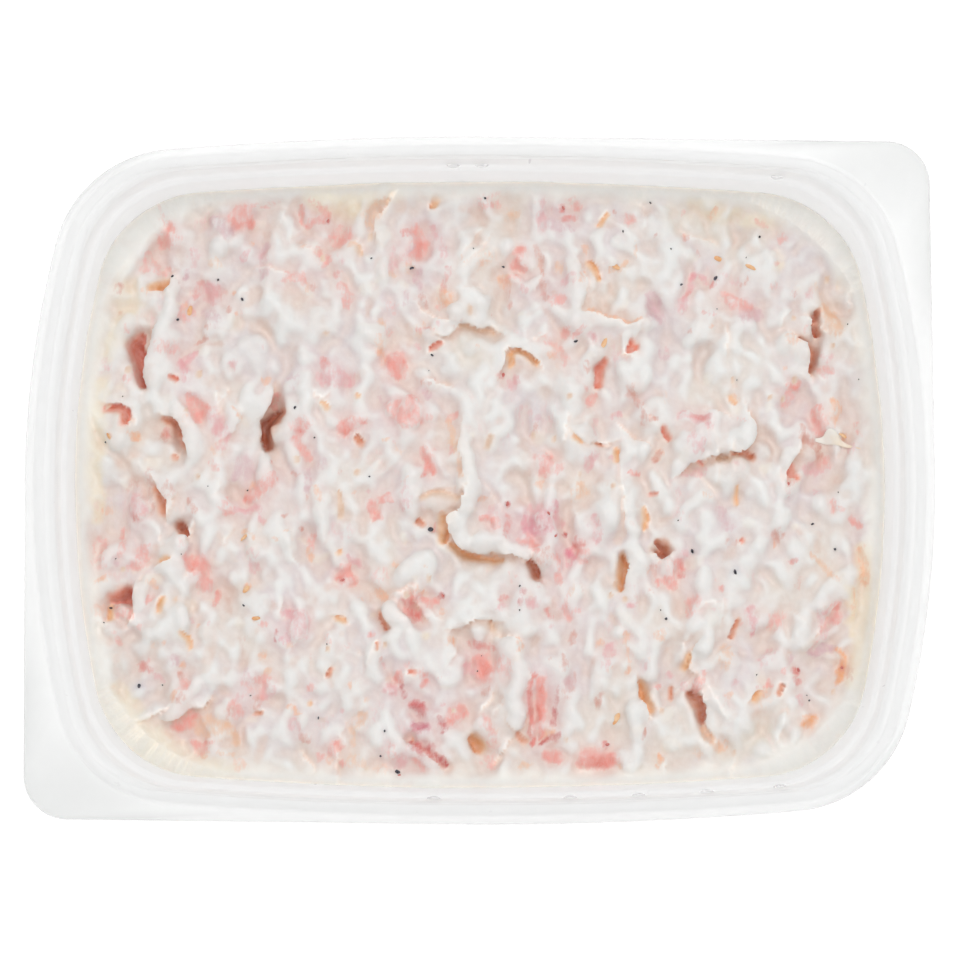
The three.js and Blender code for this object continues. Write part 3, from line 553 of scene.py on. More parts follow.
# stains: ham and shadowed cream that show through the coat
stains = [  # tone, strength, then x, y, half width along the middle line
    ("coral", 0.7, -38.4, 29.9, 1.1, -37.2, 30, 1, -37.6, 31.2, 0.7),
    ("coral", 0.4, -40.4, 28, 0.7, -40.2, 26.4, 0.8, -38.2, 26, 0.8),
    ("plum", 0.8, -32, 31.8, 0.8, -31, 31.2, 1, -30.6, 30.3, 0.6),
    ("coral", 0.85, -29.8, 32, 0.9, -28.8, 33.1, 1, -28, 31.8, 0.6), ("red", 0.6, -26, 27.9, 0.6),
    ("plum", 0.5, -26.3, 29, 0.8, -26, 27, 0.8, -26.3, 25.5, 0.7),
    ("tan", 0.5, -25.2, 31.5, 0.8, -25.4, 28, 0.7, -25.5, 24.5, 0.8, -26.8, 23.6, 0.9, -28.3, 22, 0.5),
    ("rose", 0.6, -28.2, 28.6, 0.4, -29, 27.5, 0.4), ("rose", 0.5, -34.9, 28.5, 0.7, -34.5, 26.8, 0.5),
    ("plum", 0.7, -35.4, 26, 0.35, -35.5, 25, 0.35), ("red", 0.45, -33.9, 24.5, 0.5, -34.6, 23, 0.6),
    ("rose", 0.7, -33, 24, 0.7, -32, 23.8, 0.7, -32.5, 22.8, 0.7), ("orange", 0.7, -29.9, 23.4, 0.35),
    ("orange", 0.6, -35.7, 21.5, 0.5), ("plum", 0.6, -33.4, 21, 0.6, -32.6, 20.4, 0.9, -31.8, 19.3, 0.7),
    ("brick", 0.5, -33.3, 19, 0.4, -33.5, 17.6, 0.4, -34.5, 17.2, 0.3),
    ("brown", 0.6, -33, 17, 0.3, -31.6, 16.9, 0.3), ("coral", 0.5, -38.8, 16.6, 0.8, -37.3, 16.6, 0.9),
    ("rose", 0.75, -34.8, 15.9, 0.4, -36, 14.8, 0.6, -35.8, 13.2, 0.6),
    ("coral", 0.6, -41.8, 13.4, 0.9, -42.6, 12.4, 0.5), ("orange", 0.5, -40.6, 23.6, 0.5),
    ("yellow", 0.6, -42.5, 23.4, 1.8), ("tan", 0.5, -41.5, 19, 1.4, -39.6, 20.8, 0.7),
    ("tan", 0.5, -26.3, 20, 0.7, -25.4, 18.4, 0.5), ("lilac", 0.8, -28.5, 17, 2, -26.5, 14.5, 2),
    ("brown", 0.35, -30, 13.5, 1.3), ("orange", 0.5, -26.2, 12.4, 0.6),
    ("tan", 0.4, -35.5, 32.4, 0.4, -33, 32.2, 0.3), ("coral", 0.3, -28, 34, 0.3, -24, 34.6, 0.3),
    ("coral", 0.6, -21.9, 33.8, 0.35, -21.8, 32.4, 0.35, -20.8, 31.6, 0.35, -19.4, 32, 0.45, -18.6, 32.6,
      0.45, -19, 33.6, 0.4, -20.5, 34.6, 0.4), ("red", 0.6, -18.5, 32.2, 0.4),
    ("coral", 0.6, -17.5, 29.9, 1, -16.5, 30.6, 0.9), ("orange", 0.6, -21.4, 29.2, 0.45),
    ("coral", 0.65, -20, 28.5, 0.4, -19.3, 27.3, 0.8, -18.4, 27.6, 0.5), ("red", 0.4, -17.5, 25.7, 0.6),
    ("coral", 0.7, -23.2, 25.2, 0.8, -22, 25.5, 0.7, -21.6, 24.6, 0.5), ("brick", 0.5, -20.4, 23.8, 0.6),
    ("coral", 0.65, -16.8, 24.3, 0.6, -16.2, 23, 0.6, -16.3, 22, 0.5),
    ("yellow", 0.8, -20, 34.8, 1.3, -15.5, 33.6, 1.7),
    ("amber", 0.5, -11.4, 34.6, 0.7, -13.3, 32.6, 0.9, -13.1, 31, 0.5),
    ("brown", 0.5, -12.6, 23.3, 0.5, -13.3, 22.3, 0.6, -13.6, 20.8, 0.4),
    ("orange", 0.6, -12.4, 18, 0.4, -12, 16.2, 0.4, -11.7, 15.3, 0.3),
    ("coral", 0.95, -10.4, 14.8, 1.2, -10.2, 14, 1), ("red", 0.8, -9.2, 30.8, 0.4, -8.7, 31, 0.4),
    ("coral", 0.7, -7.6, 31, 0.7, -7.4, 29.5, 1.1, -8, 28, 1.1, -9, 27.6, 0.7),
    ("plum", 0.8, -8.3, 29.3, 0.25, -9.2, 27.8, 0.3), ("rose", 0.4, -10.2, 28.4, 0.7, -11, 26.2, 0.7),
    ("rose", 0.5, -6, 31.5, 0.4, -5, 29.8, 0.5, -4.3, 28, 0.6),
    ("plum", 0.6, -7.5, 26.2, 0.5, -7.6, 25, 0.6, -7.2, 23.8, 0.4),
    ("brick", 0.5, -7, 23, 0.35, -6.6, 22, 0.4, -6.2, 21.4, 0.35),
    ("plum", 0.6, -9, 22.8, 0.35, -9.1, 21.6, 0.45), ("coral", 0.35, -11, 21.5, 0.9),
    ("red", 0.5, -4, 26.3, 0.35, -4.4, 24.5, 0.35, -4.6, 23.2, 0.4),
    ("orange", 0.75, -4.4, 22.6, 0.9, -3.6, 22.8, 0.6), ("coral", 0.5, -4.9, 21.4, 0.5),
    ("orange", 0.7, -2.2, 27.2, 0.45), ("tan", 0.5, -2, 33.8, 0.7),
    ("brown", 0.5, -0.4, 33, 0.7, 0.4, 32, 0.7), ("brown", 0.7, -0.6, 29.8, 1, -0.9, 29, 0.6),
    ("red", 0.65, -7.6, 18.7, 0.3, -6.5, 18.8, 0.35, -5.6, 18.6, 0.3),
    ("tan", 0.4, -8.6, 19.5, 0.5, -8.4, 17.5, 0.5, -8.6, 15.5, 0.5),
    ("red", 0.5, -19.2, 15.4, 0.6, -19, 14.4, 0.7), ("rose", 0.65, -18.6, 13, 1.2, -16, 12.6, 1),
    ("plum", 0.4, -22.5, 12.6, 1), ("tan", 0.5, -23, 23, 1.2, -20.5, 21.3, 1, -19, 19, 0.9),
    ("coral", 0.5, 0.3, 34.3, 1, 2, 35, 0.8), ("red", 0.9, 10.1, 33.75, 0.45),
    ("coral", 0.6, 11, 35.1, 0.6, 11.8, 34, 0.6), ("rose", 0.4, 8, 34.4, 1.2),
    ("red", 0.6, 10, 32.6, 0.35, 11.4, 32.5, 0.4), ("plum", 0.5, 9.2, 31.5, 0.9, 11.4, 31, 0.5),
    ("coral", 0.5, 18.2, 32.2, 0.7), ("amber", 0.7, 15.8, 26.2, 0.35, 16.7, 26.4, 0.4, 17.5, 26.9, 0.3),
    ("amber", 0.5, 18.9, 29.6, 0.25, 18.9, 27.8, 0.3), ("tan", 0.6, 14.2, 24.4, 0.5),
    ("coral", 0.85, 4.8, 28.3, 0.7, 4.4, 27, 0.8, 5.2, 26.5, 0.5),
    ("coral", 0.75, 3.9, 25.3, 0.5, 4.9, 25, 0.4), ("rose", 0.6, 5.6, 24, 0.7),
    ("brick", 0.5, 3, 24.9, 0.35, 3.5, 23.4, 0.35, 3.4, 21.6, 0.4), ("brick", 0.5, 1.7, 20.7, 0.35),
    ("brick", 0.5, 7, 28.8, 0.45, 7.6, 26.5, 0.45, 7.8, 24.5, 0.5, 8, 22.6, 0.4),
    ("coral", 0.5, 10.1, 22.6, 0.4, 8.7, 22, 0.6),
    ("brown", 0.45, 6, 20.6, 0.2, 7.2, 21.3, 0.2, 8.5, 20.6, 0.2, 9, 19.8, 0.2),
    ("brown", 0.4, 12.8, 21.8, 0.9, 14.5, 21.4, 0.6, 18, 20.8, 0.9),
    ("orange", 0.6, 13.6, 20.9, 0.3, 15.4, 20.5, 0.25, 17, 20.1, 0.25, 17.7, 19.6, 0.3, 19.4, 19.9, 0.25),
    ("plum", 0.6, 21, 22.4, 0.9, 21.3, 20.4, 1), ("brown", 0.5, 16.2, 23, 0.35, 15.5, 24.2, 0.35),
    ("coral", 0.75, 12.3, 19.1, 0.3, 11.6, 17.8, 0.35), ("rose", 0.8, 13.6, 17.9, 0.6),
    ("coral", 0.5, 8, 17.5, 0.8, 9.2, 16.5, 0.8, 10.3, 15.4, 0.8), ("brown", 0.4, 5.5, 13.9, 1.5),
    ("red", 0.5, 2.8, 13.3, 0.5), ("rose", 0.7, 4.2, 12.4, 0.8), ("plum", 0.4, 22.3, 15.6, 0.6),
    ("rose", 0.75, 26.2, 25.5, 0.45, 25.6, 23.6, 0.4, 25, 22.2, 0.5, 24.4, 21.2, 0.6),
    ("red", 0.6, 25.6, 23.6, 0.25, 25.4, 22.8, 0.25), ("rose", 0.75, 27.3, 25.2, 0.45, 27.4, 24.4, 0.4),
    ("red", 0.8, 28.2, 23.9, 0.3, 28.9, 24.8, 0.3), ("rose", 0.4, 29.6, 25.5, 0.5, 31, 24.8, 0.5),
    ("brick", 0.55, 31.8, 24.4, 0.4, 32.6, 24.6, 0.35, 32.7, 25.6, 0.25),
    ("coral", 0.8, 29.6, 23, 0.5, 30.8, 22, 0.75, 32.4, 21.3, 0.8),
    ("plum", 0.65, 32, 20.2, 0.9, 34, 20.7, 0.6), ("red", 0.6, 27.5, 20.9, 0.35, 28.3, 20.6, 0.4),
    ("brick", 0.5, 25.7, 18.5, 0.35), ("brown", 0.5, 28.2, 17.7, 0.6, 29.4, 18.3, 0.7, 30.5, 19.5, 0.4),
    ("amber", 0.7, 41.6, 21.2, 0.7, 42.8, 20.3, 0.8, 43.4, 18.7, 0.8),
    ("coral", 0.6, 41, 13.8, 0.5, 43.2, 13.9, 0.5), ("rose", 0.4, 42, 15.6, 1),
    ("coral", 0.55, 33.9, 32.4, 0.35, 34.6, 31.4, 0.4), ("coral", 0.4, 36.8, 30.1, 0.9),
    ("yellow", 0.6, 36.3, 26.5, 0.7), ("tan", 0.5, 40.5, 24, 0.6, 42, 22.2, 0.8),
    ("tan", 0.4, 38.1, 22.3, 0.5), ("coral", 0.9, 37.4, 12, 0.6, 38.4, 12, 0.7),
    ("orange", 0.7, -42, 5.9, 0.7, -41.6, 5.4, 0.5),
    ("tan", 0.7, -42.6, 2.8, 1.5, -41, 0, 0.5, -40.6, -1, 0.4), ("orange", 0.6, -44.8, 5.5, 0.4),
    ("red", 0.5, -37.7, 6.3, 0.8), ("brick", 0.4, -40, 1.4, 0.6, -39.4, -1, 0.9, -39, -3, 0.8),
    ("rose", 0.75, -41.9, -1.8, 0.7, -41.3, -3, 1, -40.3, -3.2, 0.6),
    ("red", 0.85, -41.4, -3.9, 0.5, -40.6, -3.7, 0.35), ("brown", 0.45, -34.3, 0.5, 0.5),
    ("brick", 0.65, -35, -2, 0.35, -34.8, -3.2, 0.45), ("tan", 0.5, -37.2, -7.4, 0.6, -37.5, -8.8, 0.5),
    ("coral", 0.7, -35, -9.2, 0.8, -34.4, -10, 0.9, -33.4, -11, 0.9, -33.6, -9, 0.7),
    ("rose", 0.7, -32.4, 8, 0.8, -31.6, 7, 0.9, -30.8, 5.8, 0.7, -31.3, 4.3, 0.5),
    ("coral", 0.65, -35.2, 10.8, 0.5, -34.4, 9.8, 0.9, -33, 9.2, 0.6, -34.3, 8.2, 0.7),
    ("orange", 0.5, -30, 9, 0.4, -29.4, 8, 0.4), ("coral", 0.5, -32.5, 2.6, 0.5, -31.6, 2, 0.5),
    ("plum", 0.55, -29.5, 2, 0.5, -30.1, 0.5, 0.35), ("plum", 0.45, -28.4, 2, 1.5),
    ("red", 0.7, -25, 9.8, 0.6, -24.8, 11.2, 0.4),
    ("coral", 0.9, -25.2, 0.6, 0.7, -26.4, -0.6, 0.7, -27.7, -1.8, 0.7),
    ("rose", 0.65, -29.5, -3, 0.4, -28, -3.3, 0.4, -26.8, -3, 0.4, -26.3, -4.5, 0.4),
    ("brick", 0.7, -25.3, 2.6, 0.35), ("amber", 0.75, -28.8, -5.8, 0.3, -28, -6.1, 0.4, -27.4, -6.9, 0.3),
    ("tan", 0.5, -31.2, -6, 0.4, -30.8, -7.5, 0.4, -29.7, -9, 0.4),
    ("rose", 0.5, -27.3, -8.5, 0.7, -27, -10.3, 0.6), ("orange", 0.7, -28.3, -12.4, 0.6),
    ("coral", 0.6, -43.3, -5.8, 0.5, -43, -7, 0.4, -43.4, -8.5, 0.4),
    ("coral", 0.55, -40.2, -7.5, 0.5, -40.8, -9, 1, -41.8, -10, 0.8), ("plum", 0.6, -44, -9.3, 0.7),
    ("coral", 0.45, -46, -7.4, 1, -45.8, -9.5, 0.8), ("orange", 0.7, -45, -11.4, 0.5, -46.4, -11.8, 0.4),
    ("orange", 0.5, -40, -11.8, 0.4, -39.3, -12.5, 0.4), ("orange", 0.45, -45, -3.2, 0.9),
    ("coral", 0.85, -10.2, 9, 1.2, -8.8, 8.4, 1.4, -8, 7.4, 0.8, -8.2, 10, 0.8),
    ("plum", 0.6, -12.4, 10.5, 0.3, -11.9, 9.6, 0.3), ("plum", 0.6, -6.6, 11.6, 0.4, -6.2, 10.8, 0.4),
    ("coral", 0.4, -6.2, 8.2, 0.6), ("coral", 0.9, -16.6, 6.7, 0.6, -15.6, 7.3, 0.8, -14.5, 7.8, 0.6),
    ("red", 0.7, -22.3, 6.6, 0.35, -21.6, 6.3, 0.35),
    ("coral", 0.6, -22.5, 5.5, 0.5, -21.6, 4.5, 0.5, -21, 3.3, 0.5),
    ("plum", 0.5, -20.8, 1.8, 0.4, -20.8, 0.6, 0.5, -21, -1, 0.5), ("plum", 0.5, -19.3, 2.4, 0.7),
    ("orange", 0.5, -19.8, -0.8, 0.5, -19.2, -1.8, 0.5), ("brown", 0.5, -15.6, -5, 0.4, -14.5, -6.3, 0.8),
    ("tan", 0.55, -12.2, 2.4, 1.5), ("rose", 0.6, -13, -1.2, 0.4),
    ("coral", 0.7, -13, -2.6, 0.6, -12.6, -4, 0.8), ("coral", 0.75, -12, -2, 0.35, -11, -1.7, 0.4),
    ("rose", 0.5, -9.2, 0.2, 0.5, -9, -2.6, 0.8),
    ("coral", 0.85, -6.3, 4.3, 0.6, -6.2, 2.8, 0.7, -5.7, 1.4, 0.4),
    ("coral", 0.7, -6.4, 2, 0.4, -6.8, 0.8, 0.3),
    ("amber", 0.55, -3.5, 7.5, 0.35, -3.3, 5.2, 0.35, -2.6, 3, 0.4, -2, 0.8, 0.3),
    ("tan", 0.7, -4.6, -2.4, 1.6, -6, -3.6, 1), ("orange", 0.6, -20.7, -8, 0.5, -20.4, -9, 0.4),
    ("coral", 0.8, -16.3, -10.2, 0.6, -16.6, -11.5, 0.9, -15.6, -11.5, 0.6),
    ("rose", 0.6, -15.9, -9, 0.4, -14.6, -9.7, 0.6), ("red", 0.4, -16.6, -11.6, 0.5),
    ("coral", 0.3, -12, -11, 1), ("tan", 0.4, -9.8, -10, 0.7), ("yellow", 0.6, -7.9, -11.5, 0.5),
    ("coral", 0.9, 7.6, 3, 1, 7.8, 1.8, 0.8), ("coral", 0.6, 9.3, 1.9, 0.6),
    ("brown", 0.45, 4.8, 5.3, 0.5, 5.6, 3.5, 0.5, 5.7, 1.5, 0.5), ("brown", 0.4, 2.8, 7.7, 0.8),
    ("lilac", 0.9, 4, 10.4, 1.8, 6.4, 8.8, 1.8), ("plum", 0.5, 7.2, 8.3, 0.6),
    ("brown", 0.45, 7.9, 11.3, 0.8), ("red", 0.65, 3.3, -2.4, 0.5),
    ("coral", 0.75, 0.3, -4.2, 0.4, 1.5, -4.3, 0.5, 2, -5.3, 0.4),
    ("red", 0.6, 3.3, -4.2, 0.45, 3.2, -5.3, 0.45, 3.3, -6.4, 0.35),
    ("magenta", 0.7, 6, -5, 1.2, 7.6, -4.8, 1.3, 8.5, -3.3, 0.8, 8.9, -2.2, 0.5),
    ("rose", 0.5, 6.6, -3, 1, 9.6, -4.6, 0.8), ("deep", 0.55, 7.5, -4.9, 0.7),
    ("deep", 0.5, 8.3, -3.6, 0.45), ("deep", 0.5, 9.1, -6.3, 0.35), ("deep", 0.75, 10.4, -6, 0.4),
    ("coral", 0.75, 5.6, -6.8, 0.8, 6.8, -8, 0.6), ("red", 0.75, 11.9, -7.3, 0.7),
    ("magenta", 0.85, 10.7, -8, 0.6, 11, -9, 0.7), ("coral", 0.75, 12.4, -8.6, 0.8),
    ("rose", 0.65, 13.9, -3.8, 0.4, 14.6, -5.2, 0.4, 14.2, -6.8, 0.4), ("plum", 0.6, 12.8, -5, 0.4),
    ("coral", 0.6, 8.8, -8.8, 0.5, 9.3, -10, 0.5, 9.6, -12, 0.5), ("coral", 0.4, 4, -11, 0.7),
    ("red", 0.75, 24.2, -9.8, 0.5, 24.3, -11.2, 0.5), ("coral", 0.8, 21.5, -11.8, 0.4),
    ("coral", 0.8, 22.9, -11.5, 0.6, 23.3, -12.4, 0.5), ("brown", 0.5, 22, -4, 0.3, 22.9, -4.1, 0.3),
    ("brick", 0.7, 21.1, 3.2, 0.4, 21.8, 3.7, 0.4), ("coral", 0.8, 18, 1.3, 0.35, 18.9, 1.1, 0.45),
    ("brick", 0.6, 20.8, 7.8, 0.35, 21.5, 7.9, 0.35), ("rose", 0.6, 13.5, 3.3, 0.9, 13.2, 2.3, 0.7),
    ("brown", 0.45, 14.7, 0.3, 0.7), ("rose", 0.65, 16.2, 8.5, 0.6, 17, 8.5, 0.6),
    ("brick", 0.5, 18, 12, 0.5, 18.6, 10.5, 0.5, 19.8, 9.3, 0.5, 20.1, 8.3, 0.3),
    ("coral", 0.5, 13.8, 11, 0.5, 13.2, 10, 0.5), ("rose", 0.4, 13.9, 7.6, 0.5, 14, 6, 0.3),
    ("tan", 0.6, 16.2, -1.5, 0.5, 16.8, -4, 0.5, 17, -7, 0.5), ("orange", 0.5, 20.3, -10.3, 0.4),
    ("rose", 0.85, 24.3, 8, 0.5, 25.2, 8.3, 0.5, 26.5, 7.6, 0.7, 27.6, 8, 0.5, 28, 6.8, 0.4),
    ("red", 0.6, 24.9, 8.4, 0.35, 27.4, 7.6, 0.3), ("rose", 0.6, 26, 5.5, 0.8, 26.4, 4.3, 0.6),
    ("coral", 0.5, 31.6, 7.5, 0.5), ("brown", 0.6, 34.3, 6, 1.2, 34.8, 4.6, 1, 34.8, 3, 0.5),
    ("tan", 0.6, 31.4, 1.7, 1.8), ("rose", 0.5, 26.5, 1.5, 0.8, 25, 1.4, 0.8),
    ("tan", 0.4, 33, 10, 0.5, 33.3, 8.5, 0.5), ("brick", 0.6, 39, 6.8, 0.45, 39.5, 5.2, 0.6, 40.5, 4.5, 0.6),
    ("coral", 0.75, 40.7, 9, 0.5, 41.2, 7.5, 1, 41, 6.2, 0.6),
    ("orange", 0.85, 43, 9.8, 0.5, 43, 8.5, 0.7, 42.6, 7.2, 0.4), ("red", 0.7, 37.2, -0.1, 0.45),
    ("rose", 0.5, 37.3, -1.3, 0.6), ("tan", 0.7, 39.5, 3, 1.2), ("coral", 0.55, 41.8, 2.6, 0.8),
    ("orange", 0.8, 43.7, 5.9, 0.6), ("coral", 0.4, 45.8, 7.5, 0.4, 45.9, 6, 0.4),
    ("plum", 0.6, 29, -3, 0.6, 29.4, -4.5, 0.7, 30.3, -5.4, 0.5), ("brown", 0.5, 30.2, -8.4, 0.8),
    ("rose", 0.5, 24.6, -8.6, 0.8), ("red", 0.65, 37.2, -9.6, 0.4, 38, -9.3, 0.4),
    ("coral", 0.65, 42.6, -2.2, 0.3, 42.7, -3.3, 0.4, 43.5, -2.8, 0.4),
    ("coral", 0.7, 44.8, -4.2, 0.5, 45.5, -4.8, 0.5),
    ("tan", 0.5, 38.6, -5.8, 0.5, 40.4, -6, 0.4, 40.8, -8, 0.4),
    ("amber", 0.65, 40, -8.5, 0.35, 41.5, -10, 0.5, 42.9, -11.3, 0.5),
    ("orange", 0.6, 46, -8, 0.5, 46.2, -10.5, 0.6, 46.3, -12, 0.5),
    ("yellow", 0.9, 44.4, -12.6, 0.8, 44.9, -15.5, 0.7, 44.8, -18, 0.6),
    ("orange", 0.35, 44.5, -12.6, 0.6, 44.9, -15.5, 0.4),
    ("coral", 0.75, -43.2, -15.5, 0.8, -42.2, -15.9, 0.6), ("peach", 0.8, -46.4, -15.8, 1.2),
    ("coral", 0.5, -43.8, -18.2, 0.4, -43.2, -19.2, 0.3), ("coral", 0.45, -40.7, -17.3, 0.5),
    ("orange", 0.6, -38, -19, 0.4), ("plum", 0.6, -36.8, -21.3, 0.8),
    ("red", 0.55, -40.4, -21.8, 0.8, -39.8, -22.4, 0.6), ("rose", 0.6, -39, -23.3, 0.5, -38.2, -23.4, 0.5),
    ("brick", 0.7, -35.8, -23.2, 0.5), ("coral", 0.6, -35.4, -24.5, 0.9),
    ("orange", 0.8, -36.4, -25.2, 0.35, -36.7, -26, 0.35), ("coral", 0.95, -36, -29, 1, -34.8, -28.3, 1),
    ("amber", 0.6, -33, -28.9, 1.3, -31.5, -29.3, 1.3), ("amber", 0.7, -30.3, -29, 0.6, -29.3, -31, 0.6),
    ("tan", 0.6, -32.8, -27.4, 1), ("coral", 0.75, -34.2, -31.2, 0.5, -33.2, -31.8, 0.6),
    ("coral", 0.75, -32.6, -31, 0.5), ("amber", 0.55, -31.5, -32.5, 0.35, -29.5, -32.6, 0.3),
    ("coral", 0.7, -31.6, -13.3, 0.5, -32, -14.3, 0.5), ("brown", 0.5, -30.2, -14, 0.3, -30.5, -15.3, 0.35),
    ("orange", 0.65, -27, -16.2, 0.45), ("coral", 0.5, -26, -17, 0.6),
    ("deep", 0.6, -24.6, -18, 0.35, -24.4, -19, 0.35), ("brown", 0.6, -25.6, -14.2, 0.5, -25, -15, 0.5),
    ("tan", 0.75, -32.2, -18, 1, -32.5, -20.5, 0.8, -32.8, -22.4, 0.5),
    ("brown", 0.5, -29, -18.8, 0.4, -28.8, -20.5, 0.4, -28.3, -22, 0.6),
    ("tan", 0.5, -31.8, -23.7, 0.6, -30.7, -24.8, 0.6), ("plum", 0.5, -27.5, -23, 1),
    ("coral", 0.65, -26.8, -23.6, 0.4, -25.7, -23.2, 0.4, -26, -25.8, 0.5), ("rose", 0.5, -25.2, -25, 1),
    ("tan", 0.5, -26.3, -30.6, 0.6, -26.5, -33.4, 0.6), ("peach", 0.5, -29, -34, 1),
    ("orange", 0.45, -26.2, -20.7, 0.5), ("yellow", 0.7, -39, -30.6, 1.8, -36, -32.4, 1.2),
    ("rose", 0.75, -23, -15.8, 0.7, -21.8, -16.5, 1.2, -22, -18, 1), ("magenta", 0.5, -23.5, -19, 0.8),
    ("brown", 0.5, -20.5, -14.2, 0.9), ("brick", 0.5, -12, -21, 0.5), ("coral", 0.6, -13, -18, 0.5),
    ("red", 0.75, -8.5, -13.5, 0.7, -8.2, -14.8, 1, -7.7, -16, 0.7),
    ("coral", 0.7, -7.2, -13.6, 0.4, -6, -14.3, 0.45, -5, -14.2, 0.4), ("deep", 0.6, -4.5, -13.5, 0.45),
    ("orange", 0.6, -4.4, -15.3, 0.4), ("brown", 0.6, -1.8, -17.3, 0.5, -0.4, -16.9, 0.5),
    ("orange", 0.7, -3.7, -19, 0.6), ("yellow", 0.6, -6.5, -18.2, 0.6), ("coral", 0.65, -7, -22.8, 0.7),
    ("coral", 0.65, -9.8, -23.2, 0.8), ("coral", 0.65, -6.6, -24, 0.5), ("rose", 0.75, -10.9, -24.6, 0.8),
    ("deep", 0.6, -9.4, -24.5, 0.45, -9.1, -25.6, 0.4), ("deep", 0.85, -8, -26.8, 0.5, -7.2, -27.2, 0.8),
    ("wine", 0.8, -7.8, -29.3, 0.6, -6.7, -29.8, 0.8),
    ("deep", 0.75, -5.3, -28, 0.35, -4.6, -29, 0.4, -4.2, -29.6, 0.3),
    ("coral", 0.9, -3.4, -28.3, 0.8, -2.5, -27.4, 0.8), ("rose", 0.7, -4.4, -26.5, 0.5),
    ("deep", 0.9, -8.4, -31.3, 0.3, -7.3, -31.8, 0.55, -6, -32.4, 0.8, -5, -33.3, 0.7, -4.2, -34, 0.35),
    ("coral", 0.5, -7.8, -33, 0.4, -7, -34.2, 0.5), ("coral", 0.65, -10.7, -32.3, 0.8),
    ("rose", 0.6, -9.6, -33.6, 0.8), ("red", 0.6, -9.7, -35.1, 0.4), ("peach", 0.9, -11.8, -35, 1),
    ("coral", 0.85, -17.2, -31.5, 0.7, -17.8, -32.3, 0.7),
    ("amber", 0.5, -14.2, -28.2, 0.8, -15.2, -29.5, 0.5, -15.4, -31, 0.4),
    ("amber", 0.55, -15.2, -33.2, 0.9, -14.2, -33.8, 0.8), ("brick", 0.5, -21.2, -30.6, 0.8),
    ("coral", 0.6, -19.4, -33, 0.5), ("coral", 0.6, -16.6, -33.9, 0.4),
    ("orange", 0.6, -22.6, -27, 0.4, -21.8, -27.6, 0.3), ("coral", 0.5, -20.5, -24.5, 0.6),
    ("tan", 0.6, -18, -24, 0.5), ("orange", 0.45, -15.2, -24.3, 0.6),
    ("coral", 0.95, 0.2, -21.5, 1, 0.4, -22.8, 1.1), ("rose", 0.6, -1.5, -22.4, 0.9),
    ("red", 0.6, -1.6, -19.2, 0.35, -0.5, -19.4, 0.5, 1, -19.5, 0.5, 1.6, -20.3, 0.35),
    ("coral", 0.45, 3, -22, 1), ("red", 0.6, 2.8, -13.7, 0.6),
    ("deep", 0.6, 5.3, -13, 0.35, 4.8, -14.5, 0.35), ("rose", 0.6, 6.3, -14.5, 0.9),
    ("red", 0.6, 8.2, -15.2, 0.35, 8.4, -16.4, 0.35), ("rose", 0.5, 8.6, -17.5, 0.4),
    ("coral", 0.7, 10.5, -13.5, 0.4, 10.3, -14.8, 0.4, 10.8, -16, 0.5), ("coral", 0.6, 11.8, -15.2, 0.5),
    ("brown", 0.55, 5.8, -18, 0.5, 6.4, -19, 0.7),
    ("red", 0.75, 6.4, -23, 0.35, 5.9, -25.5, 0.4, 6, -28, 0.4, 6.3, -31, 0.4),
    ("coral", 0.95, 7.4, -23.3, 0.4, 7.3, -26, 0.5, 7.3, -29, 0.5, 7.4, -30.5, 0.35),
    ("deep", 0.6, 9.2, -24.8, 0.25, 9, -27, 0.35, 8.8, -29, 0.35),
    ("deep", 0.8, 7.6, -31.4, 0.3, 8.8, -30.9, 0.35, 9.4, -30, 0.3),
    ("brick", 0.7, 10.2, -20.5, 0.35, 10, -22.3, 0.45), ("plum", 0.6, 10.6, -24, 0.8),
    ("coral", 0.85, 8.3, -33, 0.7, 9.4, -33, 0.7),
    ("coral", 1.0, 13, -33.3, 1.2, 14.5, -33.5, 1.3, 15.8, -33.2, 0.9), ("red", 0.5, 14.6, -34, 0.7),
    ("red", 0.8, 15.3, -31.4, 0.45), ("rose", 0.65, 15.4, -20, 0.65, 15.2, -21.8, 0.65),
    ("orange", 0.55, 14.2, -19.2, 0.5), ("brown", 0.5, 13.8, -21, 0.3, 13.9, -24, 0.4, 14.2, -26.5, 0.35),
    ("brown", 0.55, 16.1, -15.7, 0.3, 16.3, -17.2, 0.35),
    ("orange", 0.6, 17.4, -18.3, 0.4, 17.5, -19.5, 0.3, 18, -21.3, 0.3, 17.8, -23, 0.25),
    ("rose", 0.5, 20.4, -22, 0.6), ("coral", 0.55, 21.4, -24.4, 0.4), ("rose", 0.5, 22.8, -23, 0.7),
    ("brick", 0.7, 19.7, -29.6, 0.35, 19.6, -30.5, 0.35), ("orange", 0.75, 21.6, -33, 0.4, 21.3, -34, 0.4),
    ("lilac", 0.9, 12, -23.5, 1.5), ("coral", 0.6, 0.5, -28.5, 0.8, 1.2, -30, 0.5),
    ("coral", 0.4, 1, -33.5, 1), ("coral", 0.55, 25.8, -14.5, 0.9, 25.5, -15.8, 0.5),
    ("brown", 0.6, 27.8, -15.5, 0.35, 29.8, -15.2, 0.3), ("brown", 0.4, 31, -15.8, 0.7),
    ("rose", 0.85, 32.5, -15.2, 0.6, 33, -16.5, 0.5, 33.1, -18, 0.35), ("coral", 0.5, 35.7, -16.5, 1),
    ("lilac", 1.0, 31.4, -20.4, 1.8, 31.4, -22.8, 1.8), ("rose", 0.6, 30.7, -24, 0.5),
    ("orange", 0.5, 30.1, -25.4, 0.5), ("brown", 0.5, 25, -18.4, 1),
    ("coral", 0.85, 27, -22.8, 0.3, 26.4, -23.8, 0.4, 26, -24.8, 0.35),
    ("amber", 0.6, 27, -29.5, 0.5, 27.7, -31, 0.7, 29, -32, 0.5), ("tan", 0.7, 33, -27.5, 1),
